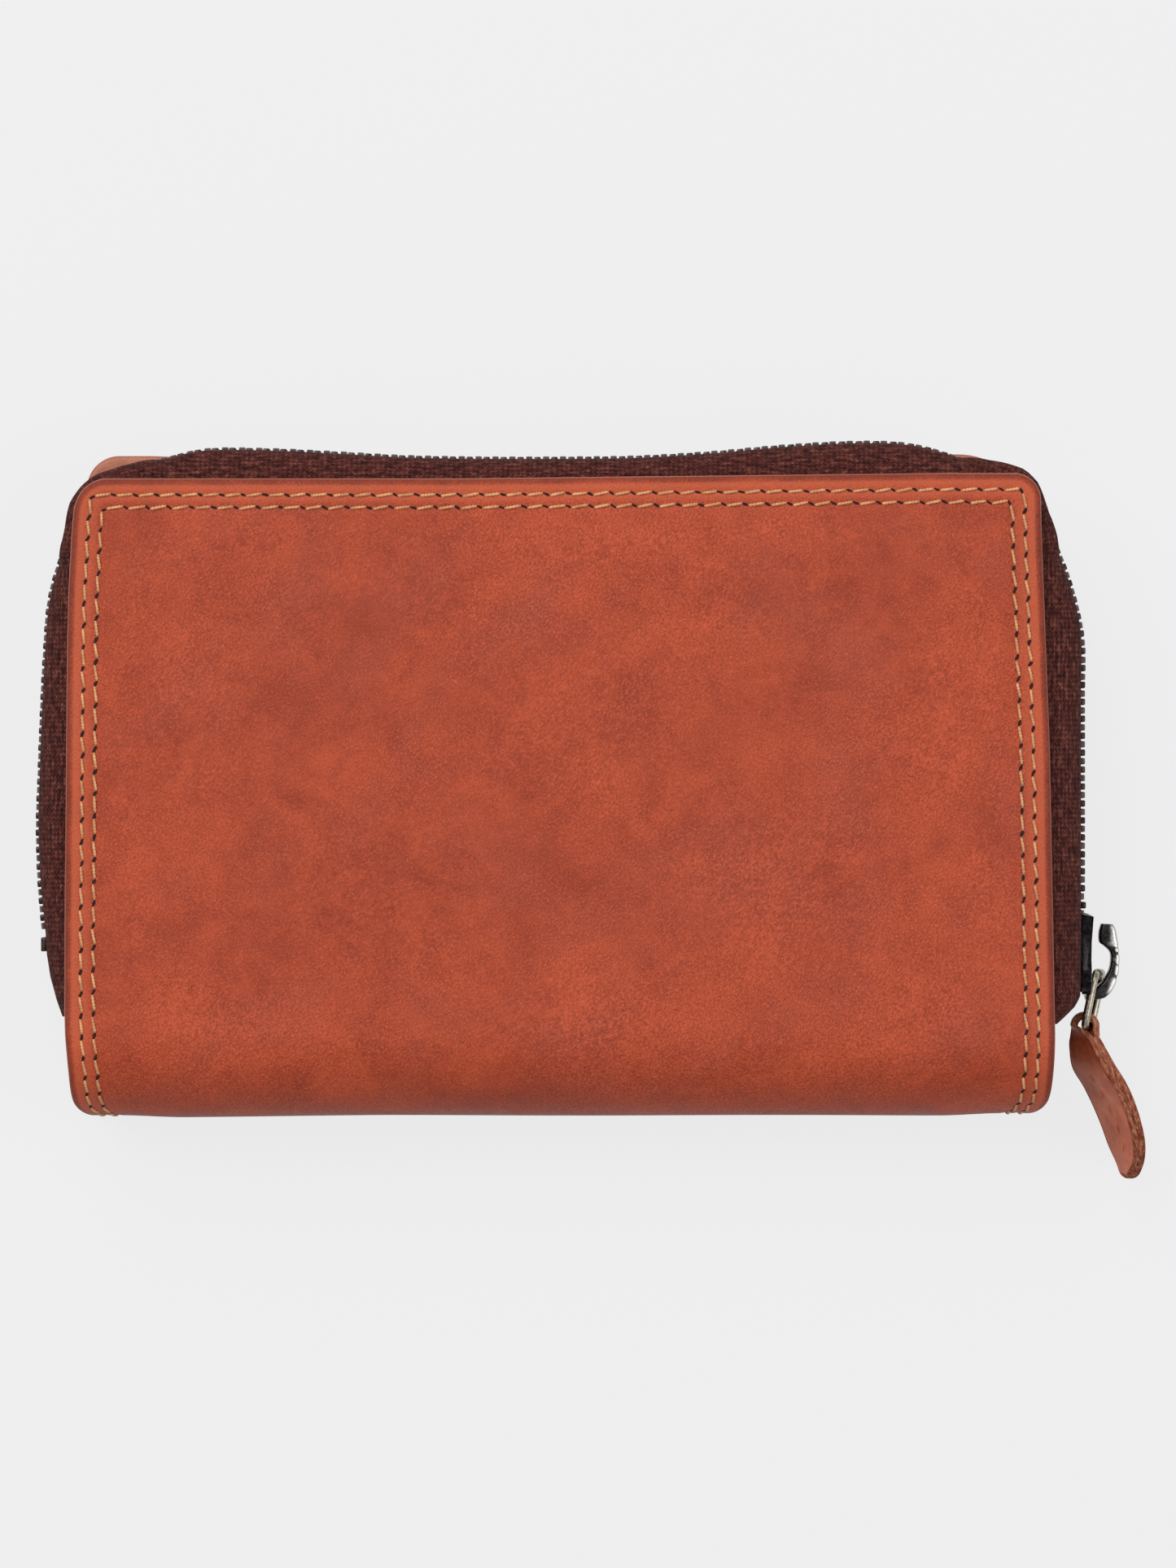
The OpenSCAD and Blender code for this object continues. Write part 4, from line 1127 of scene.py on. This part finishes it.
LEAN, TWIST = math.radians(12), math.radians(13)    # it hangs askew, and its flat side is a little turned
BAR = np.array([78.15, -27.7, MID])                 # where it runs through the crown
LINK_L, LINK_W, ROUND, WIRE = 7.9, 7.2, 1.6, 0.64   # its length, width, corners and half thickness
down_link = np.array([-math.sin(LEAN), -math.cos(LEAN), 0])
broad_way = math.cos(TWIST) * np.array([0, 0, 1]) + math.sin(TWIST) * np.cross(down_link, (0, 0, 1))
u_mid, w_mid = LINK_L - ROUND, LINK_W / 2 - ROUND
wire_path = []
for u0, w0, turn in ((ROUND, w_mid, 180), (u_mid, w_mid, 90), (u_mid, -w_mid, 0), (ROUND, -w_mid, -90)):
    for a in np.radians(np.linspace(turn, turn - 90, 9)):
        sideways = broad_way * (w0 + ROUND * math.sin(a))
        wire_path.append(BAR + down_link * (u0 + ROUND * math.cos(a)) + sideways)
wire_points, wire_faces = sweep_ring(wire_path, superellipse(WIRE, WIRE * 0.9, 2.2, 16),
                                     np.cross(down_link, broad_way))
wire = make_piece("pull_wire", wire_points, wire_faces, old_brass)
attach(wire, "pull_link")
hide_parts("pull_link")
print("link hangs", round(math.degrees(LEAN)), "degrees from the slider")

# %% [markdown]
# ## Leather pull tab
# A strip of the cover leather is folded round the wire and its two plies are sewn together. From above we
# look almost along its face, so the raw cut edge of both plies shows as a rough brown band. A flat strip
# could be bent by a Curve modifier, but this one is bowed, twisted and cut to a taper at once. So it is
# lofted between two edge lines, a near one and a far one, and turns round the wire at its top.

# %% Pull leather: smooth face, rough cut edge
pull_look = Recipe("pull_leather")
cut = pull_look.attribute("cut_edge").outputs["Fac"]
hue = pull_look.noise(160, 5, 0.7)
face_tone = pull_look.ramp(hue, [(0.30, (0.36, 0.062, 0.022)), (0.50, (0.60, 0.125, 0.045)),
                                 (0.70, (0.74, 0.22, 0.105))])
strands = pull_look.add("ShaderNodeMapping")
pull_look.join(pull_look.places(), strands.inputs["Vector"])
strands.vector_type = "TEXTURE"
strands.inputs["Rotation"].default_value = (0, 0, math.radians(-68))
strands.inputs["Scale"].default_value = (2.4, 0.6, 1.0)
fibre = pull_look.noise(1500, 5, 0.8, strands.outputs[0])
cut_tone = pull_look.ramp(fibre, [(0.32, (0.095, 0.022, 0.010)), (0.46, (0.26, 0.065, 0.030)),
                                  (0.57, (0.46, 0.17, 0.095)), (0.68, (0.68, 0.40, 0.27))])
rough_height = pull_look.sum("MULTIPLY", cut, pull_look.sum("MULTIPLY", fibre, 4.0))
pull_height = pull_look.sum("ADD", rough_height, pull_look.noise(1300, 2, 0.6))
pull_look.surface(Base_Color=pull_look.mix(cut, face_tone, cut_tone),
                  Normal=pull_look.bump(pull_height, 0.5, 0.00016),
                  Roughness=pull_look.ramp(cut, [(0.0, 0.42), (1.0, 0.85)]), Specular_IOR_Level=0.12)
print("pull leather is ready")

# %% Shape of the strip from the wire to its tip
near_edge = np.array([(75.95, -35.37, 14.4), (77.2, -37.0, 14.8), (78.25, -39.0, 15.6), (79.55, -41.4, 16.2),
                      (81.1, -43.9, 15.9), (82.35, -46.6, 15.3), (83.35, -49.6, 14.3), (84.0, -52.6, 13.1),
                      (84.1, -55.4, 12.0), (83.35, -58.0, 11.2)])
far_edge = np.array([(76.2, -35.43, 9.6), (74.9, -37.0, 8.9), (74.9, -39.0, 7.6), (75.45, -41.4, 5.8),
                     (77.0, -43.9, 4.8), (78.4, -46.6, 4.0), (79.75, -49.6, 3.1), (80.9, -52.6, 2.2),
                     (81.95, -55.4, 1.5), (82.5, -58.0, 1.2)])
STEPS, KNOT_MM = 9, 2.5             # sections from knot to knot, and about how many mm that is
PLY, EYE, THIN = 1.08, 1.58, 0.95   # one ply's thickness, radius of the eye, share left where it folds
TIP_ROUND, TIP_THIN = 5.2, 1.1      # mm over which the tip is rounded, and pressed thin
PRESSED = 0.10                      # mm by which each ply is pressed into the other
near_line, far_line = smooth_line(near_edge, STEPS), smooth_line(far_edge, STEPS)
strip = []
total = len(near_line)
for i in range(total):
    a, b = near_line[i], far_line[i]
    width = np.linalg.norm(a - b)
    after, before = min(i + 1, total - 1), max(i - 1, 0)
    ahead = near_line[after] + far_line[after] - near_line[before] - far_line[before]
    out = np.cross(a - b, ahead)
    out /= np.linalg.norm(out)
    left_to_tip = (total - 1 - i) / STEPS * KNOT_MM
    round_end = math.sqrt(max(1 - (1 - min(left_to_tip / TIP_ROUND, 1)) ** 2, 0.0))
    thin_end = math.sqrt(max(1 - (1 - min((left_to_tip + 0.05) / TIP_THIN, 1)) ** 2, 0.0))
    half_ply = PLY / 2 * (0.3 + 0.7 * thin_end) * np.interp(i / STEPS, [0, 2.5], [THIN, 1])
    open_part, apart = max(0, 1 - i / STEPS), EYE - half_ply + PRESSED
    spread = [half_ply - PRESSED + apart * open_part ** bow for bow in (1.3, 0.8)]
    strip.append(((a + b) / 2, (a - b) / width, out, width * max(round_end, 0.12) / 2, spread, half_ply))
print("strip is", round(strip[0][3] * 2, 1), "mm wide at the wire")

# %% Fold it round the wire
STRIP_RING, SQUARE = 26, 9          # points round one ply, and the power that squares its section


def strip_section(centre, across_dir, out, half, thick):
    return [centre + across_dir * q[0] + out * q[1] for q in superellipse(half, thick, SQUARE, STRIP_RING)]


way = 1 if strip[10][2][0] > 0 else -1      # so that -way * out points to the face that shows from above
sections = []
for centre, across_dir, out, half, spread, thick in strip[::-1]:
    sections.append(strip_section(centre - way * out * spread[0], across_dir, way * out, half, thick))
top = strip[0]
for a in np.radians(np.linspace(180, 0, 15))[1:-1]:
    out = np.array([math.cos(a), math.sin(a), 0])
    sections.append(strip_section(top[0] + out * EYE, top[1], -out, top[3], PLY / 2 * THIN))
for centre, across_dir, out, half, spread, thick in strip:
    sections.append(strip_section(centre + way * out * spread[1], across_dir, -way * out, half, thick))
strip_points = [p for ring in sections for p in ring]
strip_faces = tube_faces(len(sections), STRIP_RING)
pull = make_piece("pull_strap", strip_points, strip_faces, pull_look.mat)
ring_share = [1.0 if abs(q[0]) > 0.93 else 0.0 for q in superellipse(1, 1, SQUARE, STRIP_RING)]
tip_rows = [min(i, len(sections) - 1 - i) < 3 for i in range(len(sections))]
store(pull, "cut_edge", [max(c, float(tip)) for tip in tip_rows for c in ring_share])
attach(pull, "pull_tab")
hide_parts("pull_tab")


def press_against_chain(piece):
    """gives the piece a mesh of its own; nothing presses it flat"""
    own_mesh(piece)


press_against_chain(pull)
print("pull strap has", len(sections), "sections")

# %% Stitches down the face of the strap
rust_thread = thread_recipe("pull_thread", 900, (0.42, 0.10, 0.035), (0.62, 0.21, 0.09), 5000, 0.6, 0.0)
DASH, BETWEEN, SUNK = 5, 3, 0.12    # sections under a stitch and between two, mm that the thread is pulled in
pull_thread, pull_thread_faces = [], []
for i in range(3 * STEPS + 2, total - 2 * STEPS, DASH + BETWEEN):
    share = np.interp(i, [3 * STEPS, total - 2 * STEPS], [-0.15, 0.2])
    a, b = [centre - way * out * (spread[0] + thick - SUNK) + across_dir * half * share
            for centre, across_dir, out, half, spread, thick in (strip[i], strip[i + DASH])]
    pull_thread_faces += tube_faces(RINGS, SIDES, len(pull_thread))
    pull_thread += stitch_points(a, b, -way * strip[i][2])
pull_stitches = make_piece("pull_strap_stitches", pull_thread, pull_thread_faces, rust_thread)
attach(pull_stitches, "pull_tab")
press_against_chain(pull_stitches)
print("strap is sewn")

# %% [markdown]
# ## Lining
# Inside, thin tan leather lines both covers and the spine. A plane with a Solidify modifier would be
# quicker, but its edges stay square and sharp. So every inner piece is a soft slab instead: a grid of
# points with two faces that close round the edge, and a crease pressed along the edge, as a maker runs a
# hot iron beside it. Like the cover, the lining is two halves that meet in the middle of the spine.

# %% Soft slab
def soft_slab(name, grid, thick, material, crease=0.0, crease_at=1.6, round_by=0.35):
    """grid: rows of (point, normal, distance from the edge); the crease lies on the normal's side"""
    upper, lower, edge = [], [], []
    for row in grid:
        for p, n, d in row:
            p, n = np.array(p, float), np.array(n, float)
            roll = min(max(d, 0) / round_by, 1.0)
            half = thick / 2 * math.sqrt(max(1 - (1 - roll) ** 2, 0))
            groove = crease * math.exp(-((d - crease_at) / 0.25) ** 2)
            upper.append(p + n * (half - groove))
            lower.append(p - n * half)
            edge.append(d)
    rows, cols = len(grid), len(grid[0])
    faces = grid_faces(rows, cols) + grid_faces(rows, cols, rows * cols, flip=True)
    obj = make_piece(name, upper + lower, faces, material)
    store(obj, "edge_mm", edge + edge)
    weld(obj.data, also=lambda loose: bmesh.ops.recalc_face_normals(loose, faces=loose.faces))
    return obj


def turned(p, n, over):
    """a point and its normal as they are, or turned over to the other side of the wallet"""
    p, n = np.array(p, float), np.array(n, float)
    return (p * (1, 1, -1) + (0, 0, THICK), n * (1, 1, -1)) if over else (p, n)


# %% Steps that suit a creased edge and a round corner
FINE = [0, 0.05, 0.15, 0.35, 0.8, 1.2, 1.4, 1.6, 1.8, 2.1, 2.8, 4.0]    # mm from an edge


def both_ends(low, high, n):
    """values from low to high, dense at both ends"""
    body = np.linspace(low + 6, high - 6, n)
    return np.concatenate([[low + f for f in FINE], body, [high - f for f in reversed(FINE)]])


def corner_steps(radius, n):
    """distances from an edge that follow a round corner evenly"""
    return [radius * (1 - math.sin(a)) for a in np.linspace(0, math.pi / 2, n)]


def corner_loss(radius, inside):
    """what a round corner takes off the half width, so far inside the edge"""
    return radius - math.sqrt(max(radius ** 2 - (radius - inside) ** 2, 0)) if inside < radius else 0


print("an edge gets", len(FINE), "fine steps")

# %% Both halves of the lining
LINING_T, LINING_OUT = 0.6, LEATHER + 0.05      # its thickness, and its outer face below the cover's
LINING_IN, LINING_W, LINING_WIDER = 5.5, 63.9, 3.4  # below the cover's top, half width, more at the spine
RIPPLE = 0.12                                   # soft unevenness of the thin leather


def half_lining(name, top, mirrored):
    high, corner, radius = top - LINING_IN, 5.5, MID - LINING_OUT - LINING_T / 2
    flat = high - FOLD_Y
    rows = sorted({round(step, 3) for step in corner_steps(corner, 10)} | set(FINE[1:])
                  | set(np.linspace(7, flat - 6, 18))
                  | set(np.linspace(flat - 5, flat + math.pi / 2 * radius - 0.05, 20)))
    grid = []
    for v in rows:
        t = max(v - flat, 0) / radius
        w = LINING_W + LINING_WIDER * np.interp(v, [flat - 3, flat + 4], [0, 1]) - corner_loss(corner, v)
        y, z = high - v, THICK - LINING_OUT - LINING_T / 2
        if v > flat:
            y, z = FOLD_Y - radius * math.sin(t), MID + radius * math.cos(t)
        n = np.array([0, math.sin(t), -math.cos(t)])
        row = []
        for x in both_ends(-w, w, 30):
            dx = w - abs(x)
            inner = min(dx, v)
            if dx < corner and v < corner:
                inner = corner - math.hypot(corner - dx, corner - v)
            wave = math.sin(x * 0.17) * math.sin(v * 0.15 + 0.5) * min(dx / 5, v / 5, 1)
            row.append((*turned(np.array([x, y, z]) + n * RIPPLE * wave, n, mirrored), inner))
        grid.append(row)
    return soft_slab(name, grid, LINING_T, lining_leather, crease=0.12)


back_lining_half = half_lining("back_lining_half", BACK_TOP, False)
front_lining_half = half_lining("front_lining_half", FRONT_TOP, True)
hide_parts("back_lining", "spine_lining")
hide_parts("front_lining", "spine_lining")
bend_back(back_lining_half)
bend_front(front_lining_half)
print("lined both covers")

# %% [markdown]
# ## Card slots
# Four leather panels are stacked in steps on each lining, the first one the tallest. Each has a thumb
# notch in its top edge and a creased line below it. A notch cut with a Boolean would break the grid, and
# the crease with it, so the top rows dip instead and follow the notch. One row of stitches down each side
# and along the foot holds the stack, and its ends show on every step.

# %% One card slot panel
SLOT_W, SLOT_FOOT, SLOT_T = 48.5, FOLD_Y + 6, 0.62  # half width, foot line, thickness
SLOT_HIGH, SLOT_STEP = 60, 9                        # height of the tallest panel, drop to the next
SLOT_Z, SLOT_RISE = THICK - 2.1, 0.7                # face of the lining, rise of each panel above it
NOTCH_W, NOTCH_DEEP = 8.2, 4.6                      # half width and depth of the thumb notch
SAG = 0.10                                          # a panel isn't quite flat


def card_slot(side, number):
    high = SLOT_FOOT + SLOT_HIGH - SLOT_STEP * (number - 1)
    z = SLOT_Z - SLOT_RISE * (number - 1) - SLOT_RISE / 2
    grid = []
    xs = sorted(set(np.round(both_ends(-SLOT_W, SLOT_W, 26), 3)) | set(np.round(np.linspace(-8, 8, 25), 3)))
    for v in both_ends(0, high - SLOT_FOOT, 12):
        row = []
        for x in xs:
            notch = NOTCH_DEEP * max(math.cos(math.pi / 2 * min(abs(x) / NOTCH_W, 1)), 0) ** 1.25
            top = high - notch
            y = top - v * (top - SLOT_FOOT) / (high - SLOT_FOOT)
            d = min(v, SLOT_W - abs(x), high - SLOT_FOOT - v)
            sag = SAG * math.sin(x * 0.09 + number) * min(d / 6, 1)
            row.append((*turned((x, y, z - sag), (0, 0, -1), side == "front"), d))
        grid.append(row)
    obj = soft_slab(f"{side}_card_panel_{number}", grid, SLOT_T, lining_leather,
                    crease=0.14)
    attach(obj, side + "_half")
    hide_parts(f"{side}_card_slot_{number}")


# %% Stitches of the card slots
SEAM_IN = 2.6                   # from the edge of the panels to their stitches


def card_stitches(side):
    """rows on the steps of the stack, each at the height of the panel it lies on"""
    runs = []
    for number in range(1, 5):
        high = SLOT_FOOT + SLOT_HIGH - SLOT_STEP * (number - 1)
        low = high - SLOT_STEP if number < 4 else SLOT_FOOT
        z = SLOT_Z - SLOT_RISE * number + 0.04
        for x in (-SLOT_W + SEAM_IN, SLOT_W - SEAM_IN):
            runs.append(((x, low + 0.6, z), (x, high - 0.8, z)))
    # the seam along the foot lies on the last panel
    runs.append(((-SLOT_W + SEAM_IN, low + SEAM_IN, z), (SLOT_W - SEAM_IN, low + SEAM_IN, z)))
    points, faces = [], []
    for a, b in runs:
        a, b = np.array(a), np.array(b)
        count = max(int(round(np.linalg.norm(b - a) / STITCH)), 1)
        for k in range(count):
            (p, up), (q, _) = [turned(a + (b - a) * (k + share) / count, (0, 0, -1), side == "front")
                               for share in (0.14, 0.86)]
            faces += tube_faces(RINGS, SIDES, len(points))
            points += stitch_points(p, q, up)
    obj = make_piece(side + "_card_stitches", points, faces, waxed_thread)
    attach(obj, side + "_half")


for side in ("front", "back"):
    for number in range(1, 5):
        card_slot(side, number)
    card_stitches(side)
print("made eight card slots")

# %% [markdown]
# ## Coin pocket
# A flat bag stands in the middle of the wallet, sewn to the spine. Two leather panels with round lower
# corners are joined by a strip that is folded inwards, so that the bag can swell. One closed box could
# stand for all three, but an open wallet shows the fold from the side. So the strip is a grid of its own
# that runs down one side, along the foot and up the other. A small brass zip closes the mouth of the bag,
# and it is made like the large one.

# %% Panels of the coin pocket
COIN_W, COIN_FOOT, COIN_TOP = 65.0, -45.17, 24.5    # half width, foot and top line
COIN_CORNER, COIN_T, COIN_Z = 5.0, 0.74, 9.1        # corner radius, thickness, outer face of the front panel


def coin_panel(name, mirrored, node):
    tall = COIN_TOP - COIN_FOOT
    rows = sorted({round(tall - step, 3) for step in corner_steps(COIN_CORNER, 8)}
                  | set(FINE) | set(np.linspace(6, tall - 7, 16)) | {tall - f for f in FINE})
    grid = []
    for v in rows:
        up = tall - v
        w = COIN_W - corner_loss(COIN_CORNER, up)
        row = []
        for x in both_ends(-w, w, 30):
            dx = w - abs(x)
            d = min(dx, v, up)
            if dx < COIN_CORNER and up < COIN_CORNER:
                d = COIN_CORNER - math.hypot(COIN_CORNER - dx, COIN_CORNER - up)
            swell = 0.16 * math.sin(math.pi * (x / COIN_W + 1) / 2) * math.sin(math.pi * v / tall) ** 0.7
            row.append((*turned((x, COIN_TOP - v, COIN_Z + 0.4 - swell), (0, 0, -1), mirrored), max(d, 0)))
        grid.append(row)
    obj = soft_slab(name, grid, COIN_T, lining_leather, crease=0.12, crease_at=2.0)
    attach(obj, "spine")
    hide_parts(node)


coin_panel("coin_panel_front", False, "coin_pocket_front")
coin_panel("coin_panel_back", True, "coin_pocket_back")
print("coin pocket is", round(2 * COIN_W), "mm wide")

# %% Strip round sides and foot of the coin pocket
bottom, wide, corner = COIN_FOOT + 1.4, 61.6, 5.0
route = [((-wide, y), (1, 0)) for y in np.linspace(COIN_TOP, bottom + corner, 24)]
for a in np.linspace(0, math.pi / 2, 8)[1:-1]:
    c, s = math.cos(a), math.sin(a)
    route.append(((-wide + corner - corner * c, bottom + corner - corner * s), (c, s)))
route += [((x, bottom), (0, 1)) for x in np.linspace(-wide + corner, 0, 16)]
route += [((-p[0], p[1]), (-n[0], n[1])) for p, n in reversed(route[:-1])]
HALF_GAP, FOLD_DEEP = 2.05, 1.5     # half the space between the panels, and how far the strip folds in
grid = []
for (x, y), (nx, ny) in route:
    row = []
    for z in np.linspace(MID - HALF_GAP, MID + HALF_GAP, 11):
        fold = FOLD_DEEP * max(1 - abs(z - MID) / HALF_GAP, 0) ** 1.2 + 0.05
        row.append(((x + nx * fold, y + ny * fold, z), (nx * 0.7, ny * 0.7, 0.0), 0.3))
    grid.append(row)
strip_of_pocket = soft_slab("coin_pocket_strip", grid, 0.6, lining_leather)
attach(strip_of_pocket, "spine")
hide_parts("coin_pocket_gusset")
print("strip has", len(route), "stations")

# %% Coin zip: tapes and stitches
CHAIN_Y, COIN_TAPE_L, COIN_TAPE_T = 27.0, 56, 0.44  # line of its teeth, half length, thickness of the tape
profile = [(CHAIN_Y - 8, 10.18), (CHAIN_Y - 6, 10.16), (CHAIN_Y - 4, 10.16), (CHAIN_Y - 2.4, 10.17),
           (CHAIN_Y - 1.5, 10.2), (CHAIN_Y - 0.7, 10.28), (CHAIN_Y - 0.25, 10.42), (CHAIN_Y - 0.05, 10.6),
           (CHAIN_Y, 10.8), (CHAIN_Y, 11.0)]
profile_run = np.concatenate([[0], np.cumsum([math.dist(a, b) for a, b in zip(profile, profile[1:])])])
COIN_STITCH, DRAWN = 3.1, 2.2       # from hole to hole, and the length of one stitch
coin_thread, coin_thread_faces = [], []
for side, mirrored in (("front", False), ("back", True)):
    grid = []
    for x in both_ends(-COIN_TAPE_L, COIN_TAPE_L, 40):
        row = []
        for j, (y, z) in enumerate(profile):
            a, b = profile[max(j - 1, 0)], profile[min(j + 1, len(profile) - 1)]
            n = np.array([0, b[1] - a[1], a[0] - b[0]]) / math.dist(a, b)
            d = min(profile_run[j], profile_run[-1] - profile_run[j], COIN_TAPE_L - abs(x))
            row.append((*turned((x, y, z), n, mirrored), d))
        grid.append(row)
    obj = soft_slab(f"coin_tape_{side}", grid, COIN_TAPE_T, tape_look.mat, round_by=0.2)
    spots = np.array([v.co for v in obj.data.vertices]) / MM
    store(obj, "along_mm", spots[:, 0])
    store(obj, "across_mm", spots[:, 1])
    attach(obj, "spine")
    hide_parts("coin_zip_tape_" + side)
    for k in range(40):
        x = -62 + k * COIN_STITCH
        (a, up), (b, _) = [turned((x + reach, COIN_TOP - 3.2, COIN_Z + 0.02), (0, 0, -1), mirrored)
                           for reach in (0, DRAWN)]
        coin_thread_faces += tube_faces(RINGS, SIDES, len(coin_thread))
        coin_thread += stitch_points(a, b, up)
coin_stitches = make_piece("coin_pocket_stitches", coin_thread, coin_thread_faces, waxed_thread)
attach(coin_stitches, "spine")
print("sewed both coin tapes")

# %% Coin zip: teeth, stops, slider and pull
COIN_PITCH, COIN_TEETH = 2.0, 48
small_tooth = tooth_mesh(n=2.0, s=0.7, z0=MID - 1.3, z1=MID + 0.5, slot=MID - 0.85, tape=COIN_TAPE_T,
                         chamfer=0.3, soft=0.08)
for back in (False, True):
    side, start = "back" if back else "front", -COIN_TEETH * COIN_PITCH / 2
    spots = [(start + (i + 0.25 + 0.5 * back) * COIN_PITCH, CHAIN_Y, (1.0, 0.0)) for i in range(COIN_TEETH)]
    row = tooth_rows("coin_teeth_" + side, spots, small_tooth, back, light_brass)
    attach(row, "spine")
    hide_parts("coin_zip_teeth")
rounded_copy("coin_stops", "coin_zip_stops", light_brass, 0.2)
rounded_copy("coin_slider_box", "coin_slider", light_brass, 0.22)
rounded_copy("coin_pull_bar", "coin_pull", light_brass, 0.25)
print("coin zip has", 2 * COIN_TEETH, "teeth")

# %% [markdown]
# ## Side gussets
# Between each cover and the coin pocket a strip of thin leather is folded inwards on both sides, so that
# nothing falls out when the wallet is open. Two hinged plates would fold as well, but with a hard line
# between them. So each strip is one soft slab, folded inwards between the cover and the pocket.

# %% Four folded gussets
GUSSET_FOOT, GUSSET_TOP, GUSSET_X = -34.6, 1.0, 64.3    # its two ends, and how far out its edges lie
GUSSET_IN, GUSSET_Z, GUSSET_WIDE = 6.6, 2.25, 6.7       # depth of the fold, first edge, cover to pocket


def side_gusset(name, x_side, mirrored, node):
    grid = []
    for y in both_ends(GUSSET_FOOT, GUSSET_TOP, 14):
        row = []
        for t in np.linspace(0, 1, 17):
            open_way = abs(2 * t - 1)
            fold = GUSSET_IN * (1 - open_way ** 1.4)
            slope = GUSSET_IN * 1.4 * open_way ** 0.4 * (1 if t > 0.5 else -1) * 2 / GUSSET_WIDE
            p = np.array([GUSSET_X - fold, y, GUSSET_Z + GUSSET_WIDE * t]) * (x_side, 1, 1)
            n = np.array([1.0, 0, -slope]) / math.hypot(1, slope) * (x_side, 1, 1)
            d = min(y - GUSSET_FOOT, GUSSET_TOP - y, 0.3 + 6 * min(t, 1 - t))
            row.append((*turned(p, n, mirrored), d))
        grid.append(row)
    obj = soft_slab(name, grid, 0.5, lining_leather)
    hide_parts(node)
    if mirrored:
        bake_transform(obj)
    else:
        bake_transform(obj)


for place, x_side in (("left", -1), ("right", 1)):
    side_gusset(f"{place}_front_fold", x_side, False, f"side_gusset_{place}_front")
    side_gusset(f"{place}_back_fold", x_side, True, f"side_gusset_{place}_back")
print("folded four side gussets")
